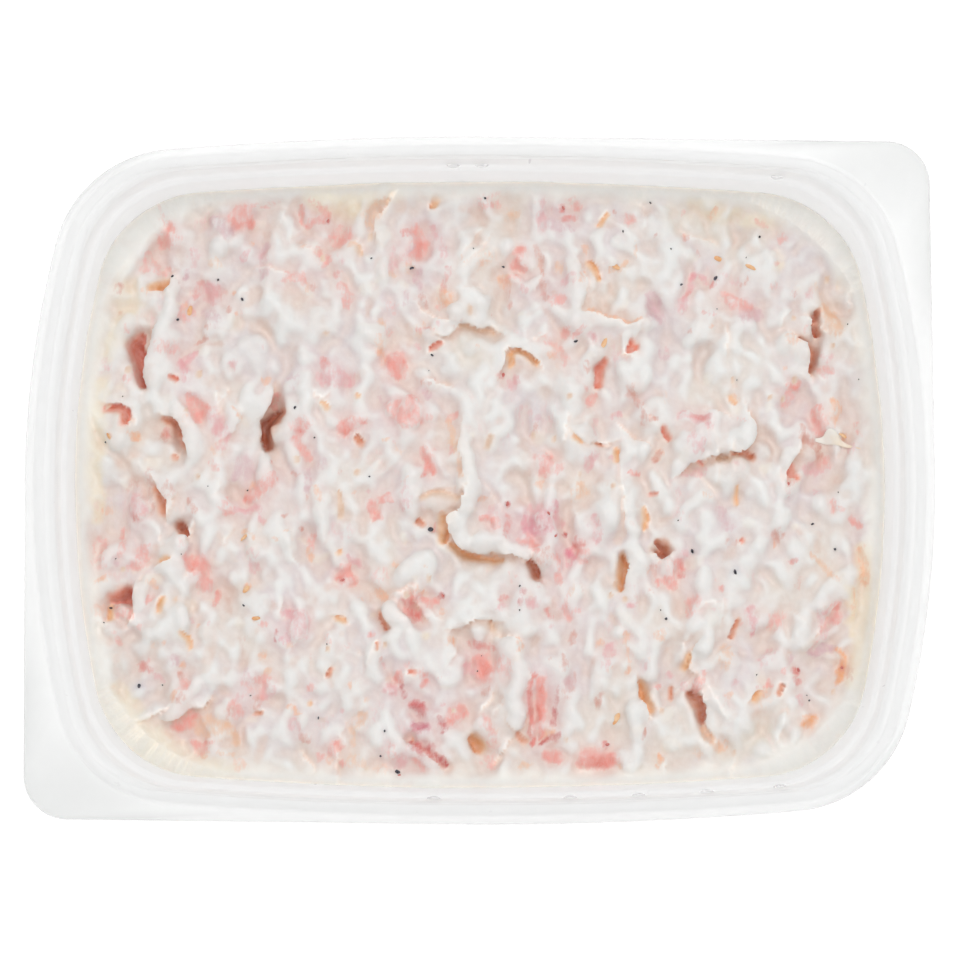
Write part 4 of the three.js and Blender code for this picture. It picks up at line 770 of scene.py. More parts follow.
    ("coral", 0.7, 34.6, -24, 0.5), ("coral", 0.65, 36.8, -22.4, 0.5), ("red", 0.7, 38.3, -22.4, 0.45),
    ("red", 0.6, 38.2, -23.8, 0.55), ("plum", 0.5, 37.3, -21, 0.6),
    ("coral", 0.8, 43, -14.8, 0.6, 42.8, -16, 0.8), ("rose", 0.5, 41.5, -16, 1, 41.2, -18.4, 0.5),
    ("plum", 0.7, 39.9, -20.5, 0.5, 41.2, -19.9, 0.5, 42.6, -20, 0.5),
    ("orange", 1.0, 43.2, -20, 0.45, 43.7, -21.5, 0.55, 43.5, -23, 0.55, 43.2, -23.8, 0.35),
    ("red", 0.5, 43.6, -22.2, 0.4), ("lilac", 0.8, 41.6, -22, 1.2), ("rose", 0.55, 38.5, -26, 0.7),
    ("orange", 0.95, 38.8, -28.6, 0.55, 40.2, -28.3, 0.55, 39.4, -29.3, 0.45),
    ("orange", 0.6, 41.4, -29.5, 0.5), ("tan", 0.5, 30.4, -28, 0.4),
    ("beige", 0.8, 28, 31.6, 2.6, 23.4, 32.6, 1.8), ("beige", 0.8, 33, -30, 2, 30, -32.6, 1.4),
    ("beige", 0.7, -1.5, 16.4, 2.4), ("lilac", 0.7, -6.6, 33, 1.4, -7, 30, 2.4, -6.6, 26, 2.2),
    ("lilac", 0.6, -38, 27.4, 1.2), ("yellow", 0.8, 46.1, -8, 0.8, 46.4, -15, 1.1, 45, -24, 1.1),
    ("yellow", 0.6, -30, -34.4, 1, -38, -32, 1.4, -43.4, -25, 1.1),
    ("yellow", 0.6, -18, 34.4, 1, -10.6, 35, 0.9), ("yellow", 0.6, 26, 34, 0.9, 35, 32, 1),
    ("slate", 0.5, 30.7, -10.8, 0.8), ("slate", 0.4, -41, -24.4, 0.6),
    ("yellow", 0.7, -45.6, 12, 1, -46.3, 3, 1, -46.2, -4, 0.8),
    ("yellow", 0.6, -42.6, 22, 1.6, -44.6, 15.5, 1),
]


def inPoints(numbers, size):
    return [tuple(numbers[i:i + size]) for i in range(0, len(numbers), size)]


folds, hollows, flaps = [
    [(inPoints(route, 2), *rest) for route, *rest in rows] for rows in (folds, hollows, flaps)
]
gouges = [(deep, turn, tone, *inPoints(stroke, 3)) for deep, turn, tone, *stroke in gouges]
stains = [(tone, strength, *inPoints(stroke, 3)) for tone, strength, *stroke in stains]


def routeDistance(x, y, route):  # distance, and its sign: positive left of the route
    best = np.full(x.shape, 1e9)
    side = np.ones(x.shape)
    for (x1, y1), (x2, y2) in zip(route, route[1:]):
        dx, dy = x2 - x1, y2 - y1
        share = np.clip(((x - x1) * dx + (y - y1) * dy) / (dx * dx + dy * dy), 0, 1)
        distance = np.hypot(x - x1 - share * dx, y - y1 - share * dy)
        left = np.sign(dx * (y - y1) - dy * (x - x1))
        side = np.where(distance < best, left, side)
        best = np.minimum(best, distance)
    return best, side


def wallDistance(x, y):
    inset = plan["ledgeStep"] + plan["ledgeRound"] + (ledgeHeight - spreadShape["level"]) * draft
    halfX = rimX - inset - y ** 2 / (2 * plan["shortSideRadius"])
    halfY = rimY - inset - x ** 2 / (2 * plan["longSideRadius"])
    corner = plan["cavityCorner"]
    outX, outY = np.abs(x) - halfX + corner, np.abs(y) - halfY + corner
    beyond = np.hypot(np.maximum(outX, 0), np.maximum(outY, 0)) + np.minimum(np.maximum(outX, outY), 0)
    return corner - beyond


def randomSpot(rng):
    return (rng.random() - 0.5) * plan["length"], (rng.random() - 0.5) * plan["width"]


def softRelief(x, y):
    shape = spreadShape
    z = shape["level"] + shape["wallClimb"] * bell(np.maximum(wallDistance(x, y), 0), shape["climbReach"])
    draw = drawFrom(shape["lumpSeed"])
    for _ in range(shape["lumpCount"]):
        lumpX, lumpY = (next(draw) - 0.5) * plan["length"], (next(draw) - 0.5) * plan["width"]
        radius = between(shape["lumpSmallest"], shape["lumpLargest"], next(draw))
        rise = (next(draw) * 2 - 1) * shape["lumpRise"]
        z = z + rise * bell(np.hypot(x - lumpX, y - lumpY), radius)
    return z


def latticeNoise(x, y, cell, seed):  # smooth noise from -1 to 1
    lattice = np.random.default_rng(seed).random((128, 128)) * 2 - 1
    u, v = x / cell + 64, y / cell + 64
    i, j = np.floor(u).astype(int), np.floor(v).astype(int)
    fu, fv = u - i, v - j
    fu, fv = fu * fu * (3 - 2 * fu), fv * fv * (3 - 2 * fv)
    i, j = i % 127, j % 127
    low = lattice[i, j] * (1 - fu) + lattice[i + 1, j] * fu
    high = lattice[i, j + 1] * (1 - fu) + lattice[i + 1, j + 1] * fu
    return low * (1 - fv) + high * fv


def cloudNoise(x, y, cell, seed, octaves=3):
    total, size, weight, weights = 0, cell, 1.0, 0.0
    for octave in range(octaves):
        turn = 0.7 + octave
        turnedX = x * math.cos(turn) - y * math.sin(turn)
        turnedY = x * math.sin(turn) + y * math.cos(turn)
        total = total + weight * latticeNoise(turnedX, turnedY, size, seed + octave)
        weights += weight
        size, weight = size / 2, weight / 2
    return total / weights


def blur(field, radius):  # repeated box blur along rows and columns; radius in grid steps
    for _ in range(3):
        for axis in (0, 1):
            sides = [(radius + 1, radius) if a == axis else (0, 0) for a in (0, 1)]
            padded = np.pad(field, sides, mode="edge")
            total = np.cumsum(padded, axis=axis)
            width, span = 2 * radius + 1, total.shape[axis]
            above, below = np.arange(width, span), np.arange(span - width)
            field = (np.take(total, above, axis) - np.take(total, below, axis)) / width
    return field


spots = {
    "count": 330, "smallest": 0.3, "largest": 1.0, "seed": 41, "turnSpread": 40, "stretch": 1.6,
    "weakest": 0.25, "strongest": 0.65, "clearOfWall": 1.5,
    # tan and brown specks are painted shade
    "tones": ("coral", "rose", "brick", "amber", "orange", "tan", "tan", "brown"),
}
tones = {
    "coral": linear(241, 160, 149), "rose": linear(231, 171, 173), "red": linear(229, 134, 125),
    "magenta": linear(229, 142, 156), "plum": linear(217, 180, 185), "deep": linear(205, 98, 98),
    "wine": linear(210, 122, 136), "orange": linear(244, 180, 136), "amber": linear(239, 192, 156),
    "brick": linear(216, 144, 124), "peach": linear(246, 202, 178),
}
# tan and brown serve as painted shade under lips, in hollows and in shaded specks and strokes
coat = {
    "ridge": linear(242, 242, 240), "pad": linear(233, 225, 221), "lilac": linear(228, 220, 221),
    "beige": linear(234, 227, 216), "yellow": linear(248, 235, 205), "film": linear(255, 253, 246),
    "tan": linear(232, 208, 194), "brown": linear(216, 186, 170), "garlic": linear(246, 240, 228),
    "slate": linear(206, 206, 214), "paintedEdgeShade": linear(228, 229, 228), "sideTopShade": linear(228, 228, 226),
}
# painted shade in the hollows, from the soft edge to the lip
hollowShadeTones = {  # at the soft edge, in the middle and at the lip
    "red": (linear(245, 198, 178), linear(234, 152, 130), linear(212, 116, 96)),
    "brick": (linear(243, 206, 184), linear(228, 162, 132), linear(200, 122, 94)),
    "amber": (linear(246, 219, 190), linear(240, 190, 144), linear(222, 156, 108)),
    "brown": (linear(240, 222, 206), linear(230, 200, 176), linear(212, 168, 140)),
}
lobes = {  # soft lobes of cream, the bowls that leave crests between them, and the crumbs under the coat
    "domes": {"count": 800, "narrowest": 0.9, "widest": 2.3, "stretch": 3.5, "turnSpread": 24,
              "rise": 0.55, "uneven": 0.36, "seed": 29},
    "bowls": {"count": 1300, "narrowest": 0.9, "widest": 2.4, "stretch": 3.1, "turnSpread": 26,
              "rise": 0.7, "uneven": 0.26, "seed": 33},
    "crumbs": {"count": 5200, "narrowest": 0.3, "widest": 0.8, "stretch": 2.0, "turnSpread": 36,
               "rise": 0.36, "uneven": 0.2, "seed": 57},
}
dice = {
    "barest": 0.75, "rise": 0.3, "bitRise": 0.22, "fullSize": 1.2, "flat": 0.55, "end": 1.2,
    "groove": (0.35, 1.35, 0.3),  # depth, place and half width
}
bits = {"count": 90, "smallest": 0.35, "largest": 0.8, "seed": 77, "strength": 0.7, "clearOfWall": 3}
tears = {
    "count": 170, "shortest": 1.2, "longest": 5.0, "seed": 91, "turnSpread": 55, "bow": 0.35, "wander": 0.12,
    "points": 5, "fullLength": 3,
    "size": (0.2, 0.45), "high": (0.6, 1.1), "low": (0.5, 0.8),  # start and growth
}
airHoles = {"count": 70, "seed": 53, "smallest": 0.25, "widening": 0.2, "depth": 0.12, "turnSpread": 50}
rags = {"warp": (0.22, 1.6, 101, 121), "lip": (0.12, 1.1, 141, 143), "stain": (0.45, 1.3, 73, 75)}


def ragged(x, y, ontoX, ontoY, rag):  # ragged edges for what is drawn with smooth outlines
    far, cell, seedX, seedY = rags[rag]
    return ontoX + far * cloudNoise(x, y, cell, seedX, 2), ontoY + far * cloudNoise(x, y, cell, seedY, 2)


def strokeReach(x, y, points):  # distance from the middle line over the half width there
    reach, alongX, alongY = [np.full(x.shape, value) for value in (1e9, 0.0, 0.0)]
    for (x1, y1, half1), (x2, y2, half2) in zip(points, points[1:] or points):
        dx, dy = x2 - x1, y2 - y1
        share = np.clip(((x - x1) * dx + (y - y1) * dy) / max(dx * dx + dy * dy, 1e-6), 0, 1)
        half = np.maximum(half1 + (half2 - half1) * share, 0.3)
        offX, offY = x - x1 - share * dx, y - y1 - share * dy
        apart = np.hypot(offX, offY)
        closer = apart / half < reach
        reach = np.where(closer, apart / half, reach)
        alongX, alongY = np.where(closer, offX / half, alongX), np.where(closer, offY / half, alongY)
    return reach, alongX, alongY


def strokeWindow(points, margin):
    middleX, middleY = [(max(p[i] for p in points) + min(p[i] for p in points)) / 2 for i in (0, 1)]
    span = max(math.dist((middleX, middleY), p[:2]) + p[2] * margin for p in points)
    return near(middleX, middleY, span + 0.6)


# the tan and brown specks among them are painted shade
def scatteredSpots():  # small soft specks of ham and oil under the coat
    rng = np.random.default_rng(spots["seed"])
    pieces = []
    while len(pieces) < spots["count"]:
        x, y = randomSpot(rng)
        half = between(spots["smallest"], spots["largest"], rng.random() ** 2)
        angle = math.radians(90 + spots["turnSpread"] * rng.standard_normal())
        length = spots["stretch"] * half * rng.random()
        strength = between(spots["weakest"], spots["strongest"], rng.random())
        tone = spots["tones"][int(rng.random() * len(spots["tones"]))]
        if wallDistance(x, y) > spots["clearOfWall"]:
            end = (x + length * math.cos(angle), y + length * math.sin(angle), half * 0.8)
            pieces.append((tone, strength, (x, y, half), end))
    return pieces


def scatteredBits():  # chopped garlic and cheese crumbs, hardly off the colour of the cream
    rng = np.random.default_rng(bits["seed"])
    strokes = []
    while len(strokes) < bits["count"]:
        x, y = randomSpot(rng)
        half = between(bits["smallest"], bits["largest"], rng.random() ** 1.4)
        angle = 6.28 * rng.random()
        end = (x + half * math.cos(angle), y + half * math.sin(angle), half * 0.8)
        if wallDistance(x, y) > bits["clearOfWall"]:
            strokes.append(("garlic", bits["strength"], (x, y, half), end))
    return strokes


def addDice(height, mask, x, y, strokes, rise):  # low lumps under the coat, steepest at their sides
    for _, _, *points in strokes:
        window = strokeWindow(points, 1.6)
        reach, _, _ = strokeReach(x[window], y[window], points)
        size = min(1, max(point[2] for point in points) / dice["fullSize"])
        crown = 1 - smoothStep(dice["flat"], dice["end"], reach)
        deep, place, half = dice["groove"]
        height[window] += rise * size * (crown - deep * bell(reach - place, half))
        mask[window] = np.maximum(mask[window], crown)


def near(centreX, centreY, reach):  # the part of the grid round a point
    step = spreadShape["step"]
    column, row = (centreX + rimX) / step, (centreY + rimY) / step
    count = reach / step
    return (slice(max(int(column - count), 0), max(int(column + count) + 2, 0)),
            slice(max(int(row - count), 0), max(int(row + count) + 2, 0)))


def scatteredTears():  # short curved lips, most of them running from back to front
    rng = np.random.default_rng(tears["seed"])
    routes = []
    for _ in range(tears["count"]):
        centre = np.array(randomSpot(rng))
        length = between(tears["shortest"], tears["longest"], rng.random() ** 1.8)
        angle = math.radians(90 + tears["turnSpread"] * rng.standard_normal())
        along = np.array([math.cos(angle), math.sin(angle)])
        across = np.array([-along[1], along[0]])
        bow = tears["bow"] * rng.standard_normal()
        points = []
        for share in np.linspace(-0.5, 0.5, tears["points"]):
            offset = bow * length * (0.25 - share ** 2) + tears["wander"] * rng.standard_normal()
            points.append(tuple(centre + along * share * length + across * offset))
        size = grown(*tears["size"], rng.random() ** 2)
        rise = size * min(1, length / tears["fullLength"])
        routes.append((points, rise, grown(*tears["high"], size), grown(*tears["low"], size)))
    return routes


# shadowReach shapes the painted shadow under each lip; brighten, brightReach and brightGrowth shape the
# painted highlight along its edge
lipShape = {  # raise and sink are shares of the rise, snap is in grid steps
    "raise": 0.6, "sink": 0.42, "snap": 0.6, "faintest": 0.05, "leastSlope": 0.6, "shadowReach": 1.1,
    "brighten": 1.3, "brightReach": 0.45, "brightGrowth": 0.25, "fade": (1.25, 0.6),
}


def addLip(fields, tear, wx, wy):  # raises one side of a route and sinks the other
    height, shade, edge, moveX, moveY = fields
    route, rise, high, low = tear
    middle = np.mean(route, axis=0)
    span = max(math.dist(middle, point) for point in route)
    window = near(middle[0], middle[1], span + 2.5 * max(high, low) + 1)
    distance, side = routeDistance(wx[window], wy[window], route)
    fromMiddle = np.hypot(wx[window] - middle[0], wy[window] - middle[1])
    fade = smoothStep(*lipShape["fade"], fromMiddle / (span + 0.3))
    signed = distance * side
    above = 1.0 * (signed > -0.5 * spreadShape["step"])
    # points near the lip move onto it, so that the edge runs clean
    pull = (distance < lipShape["snap"] * spreadShape["step"]) & (fade > lipShape["faintest"])
    slopeX, slopeY = np.gradient(signed, spreadShape["step"])
    steep = np.maximum(slopeX ** 2 + slopeY ** 2, lipShape["leastSlope"])
    for move, slope in ((moveX, slopeX), (moveY, slopeY)):
        move[window] = np.where(pull, -signed * slope / steep, move[window])
    raised, sunk = bell(distance, high) * above, bell(distance, low) * (1 - above)
    height[window] += rise * fade * (lipShape["raise"] * raised - lipShape["sink"] * sunk)
    # painted shadow: tan to brown shade on the low side, right under the lip
    shadow = fade * rise * bell(distance, low * lipShape["shadowReach"]) * (1 - above)
    shade[window] = np.maximum(shade[window], shadow)
    # painted highlight: a white line on the high side along the lip, partly the thicker cream at the fold
    paintedHighlight = bell(distance, lipShape["brightReach"] + lipShape["brightGrowth"] * high) * above
    edge[window] = np.maximum(edge[window], fade * min(1, lipShape["brighten"] * rise) * paintedHighlight)


gougeShape = {  # bottom and rim end sooner on the far side than on the lip side
    "margin": 2.2, "farthest": 1.4, "snap": 0.55, "lipStart": 0.15, "farPull": 0.22,
    "bottom": (0.5, 0.75), "rim": (1.35, 0.99), "farDepth": 0.4, "paleShare": 0.55, "fullDepth": 2,
    "middleTone": 0.5, "darkSpan": 0.4, "nearest": 0.2, "power": (0.5, 0.9),
}


def addGouge(fields, gouge, x, y):  # a hollow that is steep and darkest on its lip side
    depth, share, colour, moveX, moveY = fields
    deep, lipTurn, tone, *points = gouge
    window = strokeWindow(points, gougeShape["margin"])
    reach, offX, offY = strokeReach(x[window], y[window], points)
    angle = math.radians(lipTurn)
    farthest = gougeShape["farthest"]
    toLip = np.clip(offX * math.cos(angle) + offY * math.sin(angle), -farthest, farthest)
    # the far side runs out softly, and the lip side ends at once, on points that are moved onto its edge
    away = np.hypot(offX, offY)
    half = max(point[2] for point in points)
    overEdge = (away - 1) * half
    pull = (np.abs(overEdge) < gougeShape["snap"] * spreadShape["step"]) & (toLip > gougeShape["lipStart"])
    notNear = np.maximum(away, gougeShape["nearest"])
    for move, off in ((moveX, offX), (moveY, offY)):
        move[window] = np.where(pull, -overEdge * off / notNear, move[window])
    fade = np.where(pull, 1.0, reach) * (1 - gougeShape["farPull"] * smoothStep(0.2, -1.2, toLip))
    sharp = smoothStep(-0.3, 0.5, toLip)
    bowl = 1 - smoothStep(between(*gougeShape["bottom"], sharp), between(*gougeShape["rim"], sharp), fade)
    deepShare = bowl * between(gougeShape["farDepth"], 1, smoothStep(-0.8, 0.6, toLip))
    # painted shade: the hollow's tone runs from pale at the soft edge to dark at the lip, darker in deeper
    # hollows
    pale, middle, dark = [np.array(part[:3]) for part in hollowShadeTones[tone]]
    darker = between(gougeShape["paleShare"], 1, min(deep / gougeShape["fullDepth"], 1))
    level, half = (deepShare * darker)[..., None], gougeShape["middleTone"]
    shown = pale + (middle - pale) * np.clip(level / half, 0, 1)
    shown = shown + (dark - shown) * np.clip((level - half) / gougeShape["darkSpan"], 0, 1)
    over = np.clip(bowl, 0, 1) ** grown(*gougeShape["power"], smoothStep(0.5, -0.5, toLip))
    stronger = over > share[window]
    colour[window] = np.where(stronger[..., None], shown, colour[window])
    share[window] = np.where(stronger, over, share[window])
    depth[window] = np.maximum(depth[window], deep * deepShare)


dollop = {"lowest": -3.0, "tilt": 0.16, "margin": 0.6, "smallShare": 0.4, "cutOff": 1.3}


def dollops(x, y, lobe):  # overlapping soft lobes of cream, most of them longer from back to front
    top = np.full(x.shape, dollop["lowest"] * lobe["uneven"])
    rng = np.random.default_rng(lobe["seed"])
    for _ in range(lobe["count"]):
        centreX, centreY = randomSpot(rng)
        half = between(lobe["narrowest"], lobe["widest"], rng.random() ** 1.6)
        long = half * (1 + lobe["stretch"] * rng.random())
        turn = math.radians(90 + lobe["turnSpread"] * rng.standard_normal())
        base = lobe["uneven"] * rng.standard_normal()
        tiltAlong, tiltAcross = dollop["tilt"] * rng.standard_normal(2)
        window = near(centreX, centreY, long + dollop["margin"])
        offX, offY = x[window] - centreX, y[window] - centreY
        along = offX * math.cos(turn) + offY * math.sin(turn)
        across = -offX * math.sin(turn) + offY * math.cos(turn)
        reach = (along / long) ** 2 + (across / half) ** 2
        rise = lobe["rise"] * between(dollop["smallShare"], 1, half / lobe["widest"])
        dome = base + rise * (1 - reach)
        dome = dome + tiltAlong * along + tiltAcross * across
        top[window] = np.where(reach < dollop["cutOff"], np.maximum(top[window], dome), top[window])
    return top


def scatteredHoles():  # small air holes
    rng = np.random.default_rng(airHoles["seed"])
    holes = []
    for _ in range(airHoles["count"]):
        x, y = randomSpot(rng)
        half = airHoles["smallest"] + airHoles["widening"] * rng.random() ** 2
        turn = 90 + airHoles["turnSpread"] * rng.standard_normal()
        # painted shade: each hole takes the brown tones of the hollows
        holes.append((airHoles["depth"], turn, "brown", (x, y, half), (x, y + 0.8 * half, half)))
    return holes


relief = {  # shares of each layer in the height
    "folds": 0.8, "domes": 0.6, "bowls": -0.6, "crumbs": 1.0, "swell": 0.35, "gouges": -0.6, "grain": 0.05,
    "diceGrain": 0.3,
}


def reliefFields(x, y):
    wx, wy = ragged(x, y, x, y, "warp")
    height = softRelief(x, y)
    for route, half, rise in folds + hollows:
        distance, _ = routeDistance(wx, wy, route)
        height = height + relief["folds"] * rise * bell(distance, half)
    inner = smoothStep(0.1, 2.0, wallDistance(x, y))
    layers = sum(relief[name] * blur(dollops(wx, wy, lobe), 1) for name, lobe in lobes.items())
    height = height + inner * layers
    height = height + inner * relief["swell"] * cloudNoise(wx, wy * 0.6, 6, 7, 2)
    shade, edge, moveX, moveY, depth, hollowShadeShare = [np.zeros(x.shape) for _ in range(6)]
    hollowColour = np.zeros(x.shape + (3,))
    ragX, ragY = ragged(x, y, wx, wy, "lip")
    for tear in scatteredTears() + flaps:
        addLip((height, shade, edge, moveX, moveY), tear, ragX, ragY)
    for gouge in scatteredHoles() + gouges:
        addGouge((depth, hollowShadeShare, hollowColour, moveX, moveY), gouge, wx, wy)
    height = height + relief["gouges"] * depth * inner
    toWall = np.maximum(wallDistance(x, y) + spreadShape["filmGap"], 0)
    height = height + spreadShape["filmClimb"] * np.exp(-toWall / spreadShape["filmReach"])
    height = height + inner * relief["grain"] * cloudNoise(wx, wy, 1.0, 61, 2)
    bare = [stroke for stroke in stains if stroke[0] in tones and stroke[1] >= dice["barest"]]
    lumps, hamMask, bitMask = [np.zeros(x.shape) for _ in range(3)]
    addDice(lumps, hamMask, ragX, ragY, bare, dice["rise"])
    addDice(lumps, bitMask, ragX, ragY, scatteredBits(), dice["bitRise"])
    rough = 1 + relief["diceGrain"] * cloudNoise(wx * 1.4, wy * 0.8, 0.8, 151, 2)
    height = height + inner * lumps * rough
    marks = {"shade": shade, "edge": edge, "moveX": moveX, "moveY": moveY, "hollowShadeShare": hollowShadeShare,
             "ham": hamMask, "garlic": bitMask}
    marks = {name: field * inner for name, field in marks.items()}
    marks.update(inner=inner, hollowColour=hollowColour)
    return height, marks, wx, wy


def paintStains(colour, cover, palette, x, y, strokes):
    for tone, strength, *points in strokes:
        if tone not in palette:
            continue
        window = strokeWindow(points, 1.6)
        reach, _, _ = strokeReach(x[window], y[window], points)
        share = strength * (1 - smoothStep(0.45, 1.55, reach))
        over = share / np.maximum(cover[window] * (1 - share) + share, 1e-6)
        colour[window] = mixed(colour[window], palette[tone][:3], over)
        cover[window] = np.maximum(cover[window], share)


def mixed(first, second, share):
    return first + (np.array(second) - first) * share[..., None]


def softened(colour, share, radius):  # a colour that spreads out from where it lies
    wide = blur(share, radius)
    mixedIn = [blur(colour[..., i] * share, radius) / np.maximum(wide, 1e-4) for i in range(3)]
    return np.dstack(mixedIn), wide


clouds = {"lilac": (0.7, 4, 81), "warmth": (0.8, 5, 85), "blush": (0.8, 5, 91)}  # squeeze, cell, seed
shading = {  # reaches in millimetres
    "reaches": (0.35, 0.7, 2.4), "ridge": (0.9, 1.0, 0.5), "beige": 0.6, "warmCast": 0.7, "brownCast": 0.7,
    "bleeding": [(1.0, 1.05, 0.8, 0.4), (2.4, 0.5, 0.4, 0.7)],  # reach, gain, most, less on ridges
    "hollowBleed": (0.8, 1.1, 0.7, 0.6), "blush": 0.2, "film": 0.88, "filmWidth": 2.6, "oil": 0.9,
    "paintedEdgeShade": 0.55, "edgeShadeWidth": 1.2,
}


def clouded(x, y, name):
    squeeze, cell, seed = clouds[name]
    return cloudNoise(x, y * squeeze, cell, seed)


def coatColour(x, y, height, marks, wx, wy, step):
    tight, local, broad = [blur(height, max(1, int(reach / step))) for reach in shading["reaches"]]
    # The white of the highs is partly the thicker cream there and partly painted light; the lower places
    # keep the darker lilac, beige and pad tones, partly thin cream and partly painted shade.
    above = [share * (height - soft) for share, soft in zip(shading["ridge"], (tight, local, broad))]
    ridge = smoothStep(-0.32, 0.62, sum(above))
    # the painted highlight along the lips joins the white
    ridge = np.maximum(ridge, marks["edge"])
    sunk = np.clip((broad - height) / 0.9, 0, 1) * smoothStep(-0.1, 0.3, local - height)
    cloud = smoothStep(-0.5, 0.5, clouded(wx, wy, "lilac"))
    warmth = smoothStep(-0.3, 0.5, clouded(wx, wy, "warmth"))
    low = mixed(np.ones(x.shape + (3,)) * coat["lilac"][:3], coat["pad"][:3], cloud)
    low = mixed(low, coat["beige"][:3], shading["beige"] * warmth)
    ragX, ragY = ragged(x, y, wx, wy, "stain")
    strokes = scatteredSpots() + stains + scatteredBits()
    tint, tinted = np.ones(x.shape + (3,)) * coat["pad"][:3], np.zeros(x.shape)
    paintStains(tint, tinted, coat, ragX, ragY, strokes)
    low = mixed(low, tint, tinted)
    colour = mixed(low, coat["ridge"][:3], ridge * (1 - 0.6 * tinted))
    hamTone, cover = np.ones(x.shape + (3,)) * tones["rose"][:3], np.zeros(x.shape)
    paintStains(hamTone, cover, tones, ragX, ragY, strokes)
    cover = cover * (0.85 + 0.3 * cloudNoise(x, y, 1.1, 97, 2))
    # their colour bleeds into the cream round them
    for reach, gain, most, less in shading["bleeding"]:
        bled, share = softened(hamTone, cover, int(reach / step))
        colour = mixed(colour, bled, np.clip(gain * share, 0, most) * (1 - less * ridge))
    blush = smoothStep(0.0, 0.8, clouded(wx, wy, "blush")) * (1 - 0.7 * warmth)
    cover = np.maximum(cover * (1 - 0.4 * ridge), shading["blush"] * blush * (1 - 0.8 * ridge))
    # painted shade: tan in sunk places and under the lips, brown right under the lips
    under = np.clip(marks["shade"], 0, 1)
    warmShade = np.clip(0.55 * sunk + 0.8 * under, 0, 1) * shading["warmCast"]
    brown = smoothStep(0.45, 1.0, under) * shading["brownCast"]
    for tone, share in (("tan", warmShade), ("brown", brown)):
        colour = mixed(colour, coat[tone][:3], share)
    # painted shade: a tan halo round each hollow, then the hollow's own shade tones over it
    hollow = marks["hollowShadeShare"]
    reach, gain, most, less = shading["hollowBleed"]
    bled, share = softened(np.ones(x.shape + (3,)) * coat["tan"][:3], hollow, int(reach / step))
    colour = mixed(colour, bled, np.clip(gain * share, 0, most) * (1 - less * marks["edge"]))
    colour = colour + (marks["hollowColour"] - colour) * hollow[..., None]
    cover = cover * (1 - hollow) * (1 - 0.5 * brown)
    toWall = wallDistance(x, y)
    uneven = 1.2 * cloudNoise(x, y, 2.5, 95, 2)
    # the near-white film is partly the thin cream on the wall and partly painted light against the shade
    # along the wall
    film = (1 - smoothStep(0.0, shading["filmWidth"], toWall + uneven)) * shading["film"]
    colour = mixed(colour, coat["film"][:3], film)
    oily = np.zeros(x.shape)  # whey and oil gather along the wall
    paintStains(np.zeros(x.shape + (3,)), oily, {"yellow": coat["yellow"]}, ragX, ragY, stains)
    colour = mixed(colour, coat["yellow"][:3], shading["oil"] * blur(oily, 2) * film)
    # painted shade: the top turns grey towards the wall
    paintedEdgeShade = smoothStep(shading["edgeShadeWidth"], -0.1, toWall) * shading["paintedEdgeShade"]
    colour = mixed(colour, coat["paintedEdgeShade"][:3], paintedEdgeShade)
    return colour, hamTone, np.clip(cover * (1 - film), 0, 1)


overhang = {"reach": 1.2, "limits": (-0.4, 1.0), "offset": 0.1, "share": 0.22, "most": 0.55}


def lips(x, y, height, step, inner):  # moves high edges outwards, so that they overhang
    soft = blur(height, 1)
    slopeX, slopeY = np.gradient(soft, step, step)
    high = height - blur(height, int(overhang["reach"] / step))
    high = np.clip(high, *overhang["limits"]) + overhang["offset"]
    steep = np.hypot(slopeX, slopeY)
    push = np.minimum(overhang["share"] * np.maximum(high, 0) * steep, overhang["most"])
    push = push / np.maximum(steep, 1e-6) * inner
    return x - slopeX * push, y - slopeY * push


def spreadMaterial(name, moist=0.42):
    paint = Paint(name)
    tint = paint.attribute("coatColour", "Color")
    hamTint = paint.attribute("hamColour", "Color")
    cover = paint.attribute("hamCover")
    mottle = paint.noise(0.9, 4)
    fibre = paint.noise(0.6, 4, (1.5, 0.6, 1), 0.6)
    speck = paint.noise(2.2, 3)
    grain = paint.noise(0.4, 4, rough=0.6)
    cream = paint.blend(paint.ramp(mottle, 0.35, 0.65) * 0.22, tint, linear(252, 249, 244))
    cream = paint.blend(paint.ramp(speck, 0.5, 0.8) * 0.14, cream, linear(230, 208, 198))
    veins = paint.ramp(fibre, 0.36, 0.64)
    meat = paint.blend(veins * 0.45, linear(247, 230, 225), hamTint)
    meat = paint.blend(paint.ramp(fibre, 0.5, 0.75) * 0.5, hamTint, meat)
    share = paint.ramp(cover * 1.3 + veins * 0.45 + paint.ramp(mottle, 0.38, 0.62) * 0.35 - 0.55, 0.0, 1.0)
    shade = paint.blend(share * paint.ramp(cover, 0.0, 0.2), cream, meat)
    return paint.finish(**{
        "Base Color": shade,
        "Roughness": moist + mottle * 0.2,
        "IOR": 1.4,
        "Subsurface Weight": 1.0,
        "Subsurface Radius": (1.0, 0.8, 0.66),
        "Subsurface Scale": 0.5 * mm,
        "Normal": paint.bump(grain + mottle * 0.9 + fibre * 0.4, 0.08, 0.8),
    })


def walkLoop(faces):  # the boundary of a patch of faces, in order
    follow = {}
    edges = set()
    for face in faces:
        for a, b in zip(face, face[1:] + face[:1]):
            edges.add((a, b))
    for a, b in edges:
        if (b, a) not in edges:
            follow[a] = b
    start = next(iter(follow))
    loop = [start]
    while follow[loop[-1]] != start:
        loop.append(follow[loop[-1]])
    return loop


def wallRoute(grow, finer=12):  # rings of the cavity wall with many points, from the ledge down
    dense = []
    for ring in cavityRings(grow):
        count = len(ring)
        shares = np.arange(count * finer) / finer
        i = shares.astype(int) % count
        part = (shares - shares.astype(int))[:, None]
        dense.append(ring[i] * (1 - part) + ring[(i + 1) % count] * part)
    return np.array(dense)


